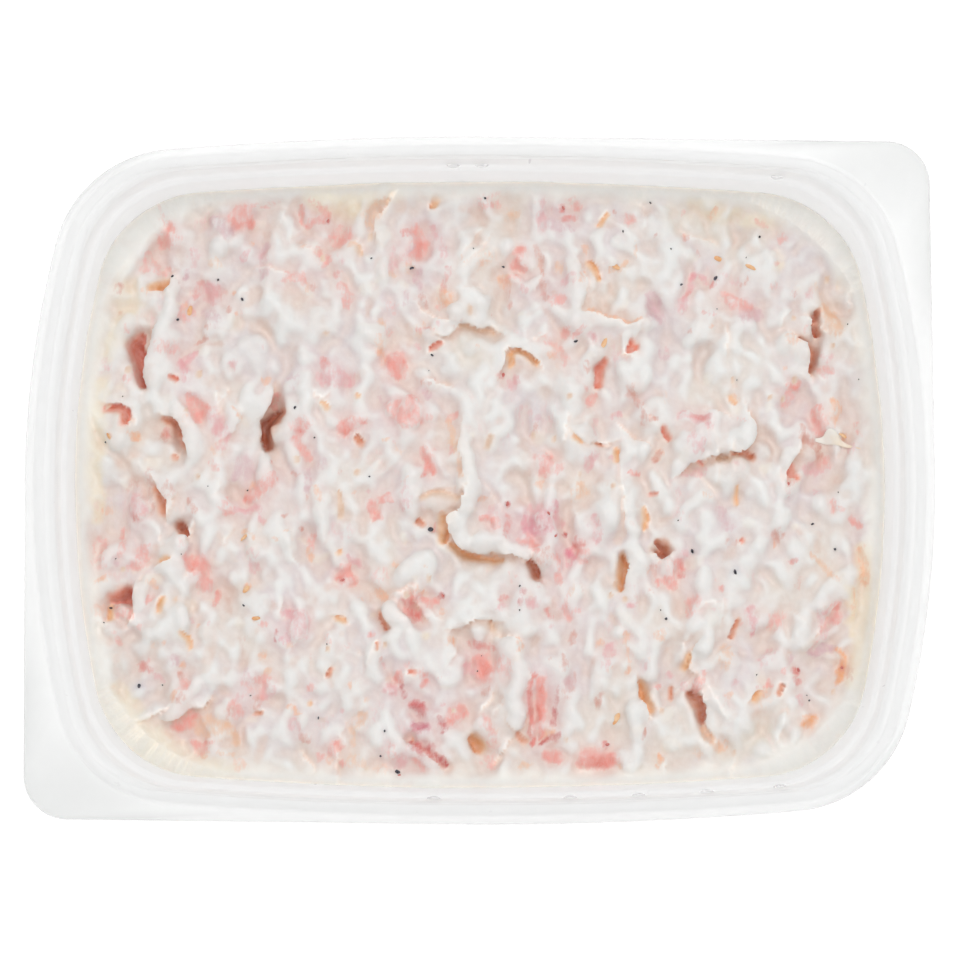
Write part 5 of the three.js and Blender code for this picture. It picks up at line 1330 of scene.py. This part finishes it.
def paintPoints(piece, painted):  # cream colour, ham colour and how bare the ham lies, for each point
    for label, first in (("coatColour", 0), ("hamColour", 3)):
        layer = piece.data.attributes.new(label, "FLOAT_COLOR", "POINT")
        rgba = np.column_stack([painted[:, first:first + 3], np.ones(len(painted))])
        layer.data.foreach_set("color", rgba.astype(np.float32).ravel())
    addMark(piece, "hamCover", painted[:, 6])


def smoothLoop(values, lap, width):  # running mean round a closed loop; lap is what one round adds
    around = np.concatenate([values - lap, values, values + lap])
    return np.convolve(around, np.ones(width) / width, "same")[len(values):2 * len(values)]


pressed = {  # cell and shift of each cloud on the side and the floor
    "shade": (5, 0.0), "warmth": (8, 7.3), "redder": (5, 15.1), "meat": (4.2, 22.7),
}


def solidNoise(points, name):
    cell, shift = pressed[name]
    away = Vector((shift,) * 3)
    return np.array([noise.fractal(Vector(point) / cell + away, 1.0, 2.0, 3) for point in points])


def pressedColour(points):  # cream and ham as they lie flat against the wall and the floor
    one = np.ones((len(points), 3))
    shade = smoothStep(-0.3, 0.3, solidNoise(points, "shade"))
    colour = mixed(one * coat["pad"][:3], coat["ridge"][:3], shade)
    colour = mixed(colour, coat["beige"][:3], 0.7 * smoothStep(0.0, 0.4, solidNoise(points, "warmth")))
    redder = smoothStep(-0.2, 0.2, solidNoise(points, "redder"))
    ham = mixed(one * tones["rose"][:3], tones["coral"][:3], redder)
    meat = solidNoise(points, "meat")
    colour = mixed(colour, coat["tan"][:3], 0.5 * smoothStep(-0.1, 0.3, meat))
    # painted shade: the side turns grey towards its top, by the wall
    film = smoothStep(spreadShape["level"] - 2.5, spreadShape["level"], points[:, 2])
    colour = mixed(colour, coat["sideTopShade"][:3], film)
    return np.column_stack([colour, ham, 0.8 * smoothStep(0.12, 0.4, meat) * (1 - film)])


def topPatch(step):  # the top as a grid up to the wall: points, faces, paint, and where ham and garlic lie
    xs, ys = np.arange(-rimX, rimX + step, step), np.arange(-rimY, rimY + step, step)
    x, y = np.meshgrid(xs, ys, indexing="ij")
    height, marks, wx, wy = reliefFields(x, y)
    colour, hamTone, cover = coatColour(x, y, height, marks, wx, wy, step)
    height = height + spreadShape["hamRise"] * smoothStep(*spreadShape["hamStart"], cover) * marks["inner"]
    movedX, movedY = lips(x + marks["moveX"], y + marks["moveY"], height, step, marks["inner"])
    keep = wallDistance(x, y) > -spreadShape["pastEdge"]
    number = np.arange(x.size).reshape(x.shape)
    low, high = slice(None, -1), slice(1, None)
    corners = ((low, low), (high, low), (high, high), (low, high))
    cell = np.logical_and.reduce([keep[corner] for corner in corners])
    quads = np.column_stack([number[corner][cell] for corner in corners])
    used, quads = np.unique(quads, return_inverse=True)
    faces = [tuple(face) for face in quads.reshape(-1, 4).tolist()]
    vertices = np.column_stack([field.ravel()[used] for field in (movedX, movedY, height)])
    painted = np.column_stack([field.reshape(x.size, -1)[used] for field in (colour, hamTone, cover)])
    bare = [marks[mark].ravel()[used] > 0.5 for mark in ("ham", "garlic")]
    return vertices, faces, painted, bare


def edgeOnWall(edge, wall):  # the edge of the top on the tub's wall, and which points of its rings it takes
    levels, count = wall[:, 0, 2], wall.shape[1]
    # the film ends in a smooth line, a little above the last points of the grid
    rest = spreadShape["filmClimb"] * (1 - math.exp(-spreadShape["filmGap"] / spreadShape["filmReach"]))
    height = smoothLoop(edge[:, 2], 0, spreadShape["edgeSmoothing"]) + rest
    row = np.clip(np.searchsorted(-levels, -height) - 1, 0, len(levels) - 2)
    share = ((levels[row] - height) / (levels[row] - levels[row + 1]))[:, None]
    nearest = np.empty(len(edge), int)
    for i in range(len(edge)):
        ring = wall[row[i]] * (1 - share[i]) + wall[row[i] + 1] * share[i]
        nearest[i] = np.argmin((ring[:, 0] - edge[i, 0]) ** 2 + (ring[:, 1] - edge[i, 1]) ** 2)
    turns = (np.diff(nearest, append=nearest[0]) + count // 2) % count - count // 2
    travelled = nearest[0] + np.concatenate([[0], np.cumsum(turns[:-1])])
    even = smoothLoop(travelled, turns.sum(), spreadShape["routeSmoothing"])
    nearest = np.round(even).astype(int) % count
    return wall[row, nearest] * (1 - share) + wall[row + 1, nearest] * share, nearest


def sideRows(top, nearest, wall):  # rows of points that follow the wall down and the floor in, coarser ones
    levels = wall[:, 0, 2]
    footStart = int(np.argmax(levels < plan["footRadius"] + plan["wall"] + 0.01))
    start, end = top[:, 2].min() - spreadShape["firstDrop"], levels[footStart] + spreadShape["lastGap"]
    down = np.arange(start, end, -spreadShape["sideStep"])
    positions = list(np.interp(-down, -levels[:footStart + 1], np.arange(footStart + 1)))
    positions += list(range(footStart, len(levels)))

    def ringAt(position, picks):
        whole = min(int(position), len(levels) - 2)
        part = position - whole
        return wall[whole][picks] * (1 - part) + wall[whole + 1][picks] * part

    target = ringAt(positions[0], nearest)
    coarse = len(top) // spreadShape["sideCoarser"]
    picks = nearest[(np.arange(coarse) * len(top)) // coarse]
    nearTop = [between(top, target, part) for part in spreadShape["edgeRows"]]
    return nearTop + [ringAt(position, picks) for position in positions]


def stitch(rows):  # faces between rows of point numbers, which may have fewer points further down
    faces = []
    for upper, lower in zip(rows, rows[1:]):
        count = len(upper)
        for i in range(count):
            j = (i + 1) % count
            a, b = i * len(lower) // count, (j * len(lower) // count) % len(lower)
            side = (upper[j], upper[i], lower[a])
            faces.append(side if a == b else side + (lower[b],))
    return faces


def sharpenRim(piece, loop, topFaces):  # a hard edge where the top meets the side
    mesh = bmesh.new()
    mesh.from_mesh(piece.data)
    onEdge = set(loop)
    for line in mesh.edges:
        if all(point.index in onEdge for point in line.verts):
            line.smooth = all(face.index < topFaces for face in line.link_faces)
    bmesh.ops.dissolve_degenerate(mesh, dist=1e-7, edges=mesh.edges)
    mesh.to_mesh(piece.data)
    mesh.free()


def makeSpread():
    vertices, faces, painted, bare = topPatch(spreadShape["step"])
    loop, topFaces = walkLoop(faces), len(faces)
    wall = wallRoute(spreadShape["intoWall"])
    vertices[loop], nearest = edgeOnWall(vertices[loop], wall)
    # painted shade: the colours along the top's edge are evened out and darkened
    for channel, share in enumerate(spreadShape["edgeLineShade"]):  # an even, darker line where it thins out
        painted[loop, channel] = smoothLoop(painted[loop, channel], 0, spreadShape["toneSmoothing"]) * share
    below = sideRows(vertices[loop], nearest, wall)
    rows, size = [loop], len(vertices)
    for row in below:
        rows.append(list(range(size, size + len(row))))
        size += len(row)
    last = rows[-1]
    quads = np.array(faces)
    faces = faces + stitch(rows) + [(last[(i + 1) % len(last)], last[i], size) for i in range(len(last))]
    below = np.vstack(below + [[[0, 0, wall[-1, 0, 2]]]])
    piece = meshPiece("creamSpread", np.vstack([vertices, below]), faces, spreadMaterial("creamySpread"))
    slots = np.zeros(len(faces), np.int32)
    for slot, (name, moist, shown) in enumerate(zip(("cookedHam", "choppedGarlic"), (0.36, 0.38), bare), 1):
        piece.data.materials.append(spreadMaterial(name, moist))
        slots[:topFaces][shown[quads].all(axis=1)] = slot
    piece.data.polygons.foreach_set("material_index", slots)
    paintPoints(piece, np.vstack([painted, pressedColour(below)]))
    sharpenRim(piece, loop, topFaces)
    return piece


spread = makeSpread()
print("spread ready", sum(len(face.vertices) - 2 for face in spread.data.polygons), "triangles")
surface = BVHTree.FromObject(spread, bpy.context.evaluated_depsgraph_get())


def topAt(x, y):
    hit, normal, _, _ = surface.ray_cast(Vector((x * mm, y * mm, 0.05)), Vector((0, 0, -1)))
    return (hit, normal) if hit else (None, None)


# small things that lie in the cream

pepper = {  # x, y, diameter
    "places": [
        (-8.3, 26.2, 0.75), (28.6, 25.1, 0.85), (-6, -5.5, 0.85), (-9.9, -34.7, 0.9), (25.6, -8.1, 0.8),
        (30.7, -10.7, 0.8), (-41, -24.4, 0.65), (11.6, 17.3, 0.65), (-37.3, 25.3, 0.5), (-31.8, 24.9, 0.5),
        (-28.9, 22.6, 0.5), (-36.7, 20, 0.5), (-22.4, 9.2, 0.5), (-20, 5.6, 0.45), (-45.2, 5, 0.5),
        (-13.2, 27.4, 0.45), (0.6, 34.8, 0.45), (2.8, 26.6, 0.4), (-5.8, 15.7, 0.5), (20.7, 34.3, 0.45),
        (17.4, 30.7, 0.4), (24.4, 24.2, 0.5), (34, 30.2, 0.5), (-44.6, -14.9, 0.5), (-28.1, -0.7, 0.4),
        (-28.5, -14.7, 0.5), (-19.4, -28.2, 0.45), (-13.4, 0.9, 0.45), (4.8, -12.4, 0.45),
        (4.8, -15.3, 0.4), (-11.4, -29.8, 0.45), (-11.9, -32.8, 0.45), (40.2, -4.8, 0.5),
        (42.8, -7.9, 0.5), (22.4, -16.3, 0.45), (39.6, -26.1, 0.45), (-43.2, 10.6, 0.3),
        (-0.8, 28.6, 0.3), (-6.2, 13.8, 0.3), (23.2, 28.5, 0.3), (32.3, 27.5, 0.3), (44.6, 19.4, 0.3),
        (31.1, 12.6, 0.3), (45.8, 12.7, 0.3), (28.7, 21.3, 0.3), (-45.2, -16.8, 0.3), (-35.9, -8.6, 0.3),
        (-32.8, -0.4, 0.3), (-43.9, -9.1, 0.3), (-38.2, -24.3, 0.3), (-27.6, -25.5, 0.3),
        (-18.4, -19.4, 0.3), (0.2, -20.7, 0.3), (-0.3, -22.6, 0.3), (43.3, -1, 0.3), (21.7, -15.3, 0.3),
        (23.9, -4.5, 0.3), (39.3, -25.5, 0.3), (38.3, -22.4, 0.3), (33.2, -23.1, 0.3),
    ],
    "sink": 0.2, "uneven": 0.34, "seed": 3, "bumps": 1800.0, "shown": 0.92, "buried": 0.07,
    "long": 1.05, "wide": (0.5, 0.85), "tall": 0.55, "turn": (0.8, 0.8, 6),
}
flecks = {  # x, y, length, width, turn
    "places": [
        (-35.3, 21, 1.7, 0.6, -35), (29, 27.6, 1.1, 0.6, 10), (32.8, 26.3, 1.4, 0.5, 85),
        (16.5, 26.5, 1.2, 0.6, 60), (15, 17, 1.5, 0.6, 35), (-28.3, -6.3, 1.6, 0.6, -35),
        (16.4, -28.3, 1.6, 0.7, 75), (-44.7, 5.6, 0.9, 0.5, 30),
        (-28.2, -12.7, 1.1, 0.6, -20), (-26.9, -16.3, 1, 0.5, 50), (43.8, 6, 1.3, 0.6, 80),
    ],
    "rise": 0.02, "thick": 0.22, "uneven": 0.2, "seed": 9, "bumps": 1500.0,
}


def scatterTree(name):
    tree = bpy.data.node_groups.new(name, "GeometryNodeTree")
    kinds = {"Geometry": "Geometry", "Shape": "Object", "Uneven": "Float", "Bump Size": "Float",
             "Seed": "Int", "Finish": "Material"}
    for label, kind in kinds.items():
        tree.interface.new_socket(label, in_out="INPUT", socket_type="NodeSocket" + kind)
    tree.interface.new_socket("Geometry", in_out="OUTPUT", socket_type="NodeSocketGeometry")
    nodes, links = tree.nodes, tree.links

    def add(kind, settings=None, values=None):
        made = nodes.new(kind)
        for key, value in (settings or {}).items():
            setattr(made, key, value)
        for key, value in (values or {}).items():
            if hasattr(value, "is_output"):
                links.new(value, made.inputs[key])
            else:
                made.inputs[key].default_value = value
        return made

    given = add("NodeGroupInput")
    size = add("GeometryNodeInputNamedAttribute", {"data_type": "FLOAT_VECTOR"}, {"Name": "pieceSize"})
    turn = add("GeometryNodeInputNamedAttribute", {"data_type": "FLOAT_VECTOR"}, {"Name": "pieceTurn"})
    shape = add("GeometryNodeObjectInfo", {}, {"Object": given.outputs["Shape"]})
    points = add("GeometryNodeMeshToPoints", {}, {"Mesh": given.outputs["Geometry"]})
    placed = add("GeometryNodeInstanceOnPoints", {}, {
        "Points": points.outputs[0], "Instance": shape.outputs["Geometry"],
        "Rotation": turn.outputs["Attribute"], "Scale": size.outputs["Attribute"],
    })
    real = add("GeometryNodeRealizeInstances", {}, {"Geometry": placed.outputs[0]})
    place = add("GeometryNodeInputPosition")
    offset = add("ShaderNodeVectorMath", {"operation": "ADD"}, {
        0: place.outputs[0], 1: given.outputs["Seed"],
    })
    bumps = add("ShaderNodeTexNoise", {}, {
        "Vector": offset.outputs[0], "Scale": given.outputs["Bump Size"], "Detail": 2.0,
    })
    half = (0.5,) * 3
    centred = add("ShaderNodeVectorMath", {"operation": "SUBTRACT"}, {0: bumps.outputs["Color"], 1: half})
    push = add("ShaderNodeVectorMath", {"operation": "SCALE"}, {
        0: centred.outputs[0], "Scale": given.outputs["Uneven"],
    })
    moved = add("GeometryNodeSetPosition", {}, {"Geometry": real.outputs[0], "Offset": push.outputs[0]})
    painted = add("GeometryNodeSetMaterial", {}, {
        "Geometry": moved.outputs[0], "Material": given.outputs["Finish"],
    })
    result = add("NodeGroupOutput")
    links.new(painted.outputs[0], result.inputs[0])
    return tree


scatter = scatterTree("scatterInCream")


def ballShape(name, level):  # a ball one unit across: an icosphere of that level, or one of rings
    mesh = bmesh.new()
    if level:
        bmesh.ops.create_icosphere(mesh, subdivisions=level, radius=0.5)
    else:
        bmesh.ops.create_uvsphere(mesh, u_segments=24, v_segments=12, radius=0.5)
    data = bpy.data.meshes.new(name)
    mesh.to_mesh(data)
    mesh.free()
    shape = bpy.data.objects.new(name, data)
    bpy.context.scene.collection.objects.link(shape)
    return shape


def scatteredPiece(name, spots, level, look, finish):  # spots: place, size, turn; one plain mesh comes back
    shape = ballShape(name + "Shape", level)
    points = bpy.data.meshes.new(name + "Points")
    points.from_pydata([tuple(place) for place, _, _ in spots], [], [])
    for label, index in (("pieceSize", 1), ("pieceTurn", 2)):
        layer = points.attributes.new(label, "FLOAT_VECTOR", "POINT")
        layer.data.foreach_set("vector", [number for spot in spots for number in spot[index]])
    carrier = bpy.data.objects.new(name + "Points", points)
    bpy.context.scene.collection.objects.link(carrier)
    grow = carrier.modifiers.new("scatter", "NODES")
    grow.node_group = scatter
    sockets = {item.name: item.identifier for item in scatter.interface.items_tree if item.in_out == "INPUT"}
    chosen = {"Shape": shape, "Uneven": look["uneven"] * mm, "Bump Size": look["bumps"],
              "Seed": look["seed"], "Finish": finish}
    for label, value in chosen.items():
        grow[sockets[label]] = value
    ready = carrier.evaluated_get(bpy.context.evaluated_depsgraph_get())
    mesh = bpy.data.meshes.new_from_object(ready)
    mesh.name = name
    mesh.polygons.foreach_set("use_smooth", [True] * len(mesh.polygons))
    carrier.modifiers.remove(grow)
    for helper in (carrier, shape):
        bpy.data.objects.remove(helper)
    piece = bpy.data.objects.new(name, mesh)
    bpy.context.scene.collection.objects.link(piece)
    return piece


def grainMaterial(name, dark, light, size, rough):
    paint = Paint(name)
    speck = paint.noise(size, 3)
    colour = paint.blend(paint.ramp(speck, 0.4, 0.65), dark, light)
    return paint.finish(**{
        "Base Color": colour,
        "Roughness": rough + speck * 0.2,
        "Normal": paint.bump(speck, 0.03, 0.6),
    })


def makePepper():
    rng = np.random.default_rng(pepper["seed"])
    spots = []
    for x, y, across in pepper["places"]:
        place, _ = topAt(x, y)
        if place is None:
            continue
        across = across * pepper["shown"] - pepper["buried"]
        long, tall = across * pepper["long"], across * pepper["tall"]
        wide = across * between(*pepper["wide"], rng.random())
        place = place + Vector((0, 0, (0.5 - pepper["sink"]) * tall * mm))
        spots.append((place, (long * mm, wide * mm, tall * mm), tuple(rng.random(3) * pepper["turn"])))
    finish = grainMaterial("blackPepper", linear(38, 37, 44), linear(96, 94, 104), 0.25, 0.5)
    return scatteredPiece("pepperGrains", spots, 2, pepper, finish)


sliver = {  # a flake of onion: x, and the y of its two edges there; the shares run from edge to edge
    "columns": [(40.6, 5.15, 5.6), (41.6, 4.95, 5.65), (41.8, 4.85, 6.6), (42.4, 4.8, 6.85),
                (43.2, 4.7, 6.4), (43.5, 4.65, 5.5), (44.3, 4.4, 4.95), (45.4, 4.36, 4.5),
                (46.1, 4.22, 4.3)],
    "rise": 0.12, "thick": 0.2, "crown": 0.3, "shares": (0, 0.15, 0.5, 0.85, 1),
}


def garlicMaterial():
    paint = Paint("onionFlake")
    tone = paint.noise(2.5, 2)
    grain = paint.noise(0.4, 3)
    along = paint.node("ShaderNodeSeparateXYZ", {}, {0: paint.place})
    flesh = paint.blend(paint.ramp(tone, 0.4, 0.6), linear(252, 247, 238), linear(248, 236, 216))
    flesh = paint.blend(paint.ramp(along, 43.2 * mm, 45.5 * mm), flesh, linear(247, 216, 180))
    return paint.finish(**{
        "Base Color": flesh,
        "Roughness": 0.38 + grain * 0.2,
        "IOR": 1.42,
        "Normal": paint.bump(grain, 0.05, 0.6),
    })


crumbs = {"tones": ("deep", "red", "wine"), "largest": 0.5, "long": 1.3, "wide": 0.9, "thick": 0.35,
          "sink": 0.06, "turn": 1.3, "uneven": 0.25, "seed": 17, "bumps": 1900.0}


def lyingOn(normal, turn):  # flat on the cream, turned about its own axis
    tilt = normal.to_track_quat("Z", "Y").to_euler()
    return tilt.x, tilt.y, tilt.z + turn


def makeCrumbs():  # the smallest, reddest bits of ham, where the list of stains has them
    spots = []
    for tone, _, *points in stains:
        x, y, half = points[0]
        place, normal = topAt(x, y)
        small = len(points) == 1 and half <= crumbs["largest"]
        if tone in crumbs["tones"] and small and place is not None:
            size = [side * mm for side in (crumbs["long"] * half, crumbs["wide"] * half, crumbs["thick"])]
            place = place - normal * crumbs["sink"] * mm
            spots.append((place, size, lyingOn(normal, crumbs["turn"] * len(spots))))
    print(len(spots), "crumbs of ham")
    finish = grainMaterial("redHamCrumb", linear(202, 112, 106), linear(228, 152, 144), 0.3, 0.4)
    return scatteredPiece("hamCrumbs", spots, 2, crumbs, finish)


def makeSliver():
    rows = []
    for x, low, high in sliver["columns"]:
        row = []
        for share in sliver["shares"]:
            y = low + (high - low) * share
            place, _ = topAt(x, y)
            crown = sliver["crown"] * (high - low) * share * (1 - share)
            row.append((x, y, place.z / mm + sliver["rise"] + crown))
        rows.append(row)
    vertices = [point for row in rows for point in row]
    width = len(rows[0])
    faces = [(r * width + i, (r + 1) * width + i, (r + 1) * width + i + 1, r * width + i + 1)
             for r in range(len(rows) - 1) for i in range(width - 1)]
    piece = meshPiece("onionSliver", vertices, faces, garlicMaterial())
    thicken = piece.modifiers.new("thickness", "SOLIDIFY")
    thicken.thickness = sliver["thick"] * mm
    soften = piece.modifiers.new("soften", "SUBSURF")
    soften.levels = soften.render_levels = 2
    return piece


def makeFlecks():
    spots = []
    for x, y, length, width, turn in flecks["places"]:
        place, normal = topAt(x, y)
        if place is None:
            continue
        place = place + normal * flecks["rise"] * mm
        size = (length * mm, width * mm, flecks["thick"] * mm)
        spots.append((place, size, lyingOn(normal, math.radians(turn))))
    finish = grainMaterial("orangeSpice", linear(236, 176, 122), linear(245, 208, 166), 0.8, 0.45)
    return scatteredPiece("spiceFlecks", spots, 3, flecks, finish)


pepperGrains = makePepper()
spiceFlecks = makeFlecks()
hamCrumbs = makeCrumbs()
onionSliver = makeSliver()
print("small pieces ready")


def makeLugs():  # small lugs on the ledge keep stacked tubs apart
    spots = []
    for side, along in ((-1, lugs["front"]), (1, lugs["back"])):
        for x in along:
            y = side * (rimY - lugs["inset"] - x ** 2 / (2 * plan["longSideRadius"]))
            place = Vector((x, y, ledgeHeight + lugs["rise"])) * mm
            spots.append((place, [2 * size * mm for size in lugs["size"]], (0, 0, 0)))
    piece = scatteredPiece("stackingLugs", spots, None, lugs, tub.data.materials[0])
    # clear like the outer skin, so that only their gloss shows
    addMark(piece, "outside", np.full(len(piece.data.vertices), lugs["clear"]))
    return piece


stackingLugs = makeLugs()


# floor and light

stage = {
    "floorReach": 3000, "floorHeight": -0.3, "floorMottle": 60, "floorGlow": 0.8,
    "floorTones": ((0.3, 0.3, 0.3, 1), (0.28, 0.28, 0.28, 1)), "skyLight": 0.7,
    "softTop": {"place": (0.1, 0.25, 0.9), "aim": (0, 0, 0.03), "size": 0.8, "power": 2.7},
}


def makeFloor():
    paint = Paint("paleFloor")
    soft = paint.noise(stage["floorMottle"], 2)
    shade = paint.blend(soft * 0.2, *stage["floorTones"])
    material = paint.finish(**{
        "Base Color": shade, "Roughness": 0.6,
        "Emission Color": (1, 1, 1, 1), "Emission Strength": stage["floorGlow"],
    })
    far, low = stage["floorReach"], stage["floorHeight"]
    corners = [(-far, -far, low), (far, -far, low), (far, far, low), (-far, far, low)]
    floor = meshPiece("floor", corners, [(0, 1, 2, 3)], material, smooth=False)


def makeLight(name, place, aim, size, power):
    data = bpy.data.lights.new(name, "AREA")
    data.shape = "SQUARE"
    data.size = size
    data.energy = power
    light = bpy.data.objects.new(name, data)
    light.location = place
    light.rotation_euler = (Vector(aim) - Vector(place)).to_track_quat("-Z", "Y").to_euler()
    bpy.context.scene.collection.objects.link(light)


makeFloor()
makeLight("softTop", **stage["softTop"])
world = bpy.data.worlds.new("studio")
world.use_nodes = True
sky = world.node_tree.nodes["Background"]
sky.inputs["Color"].default_value = (1, 1, 1, 1)
sky.inputs["Strength"].default_value = stage["skyLight"]
bpy.context.scene.world = world
bpy.context.scene.view_settings.view_transform = "Standard"
print("stage ready")

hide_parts("tub")
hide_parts("spread")
for piece, slot in ((tub, "tub_plastic"), (stackingLugs, "tub_plastic"), (spread, "cream"),
                    (hamCrumbs, "ham"), (onionSliver, "garlic"),
                    (pepperGrains, "pepper"), (spiceFlecks, "spice_flakes")):
    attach(piece, "root")
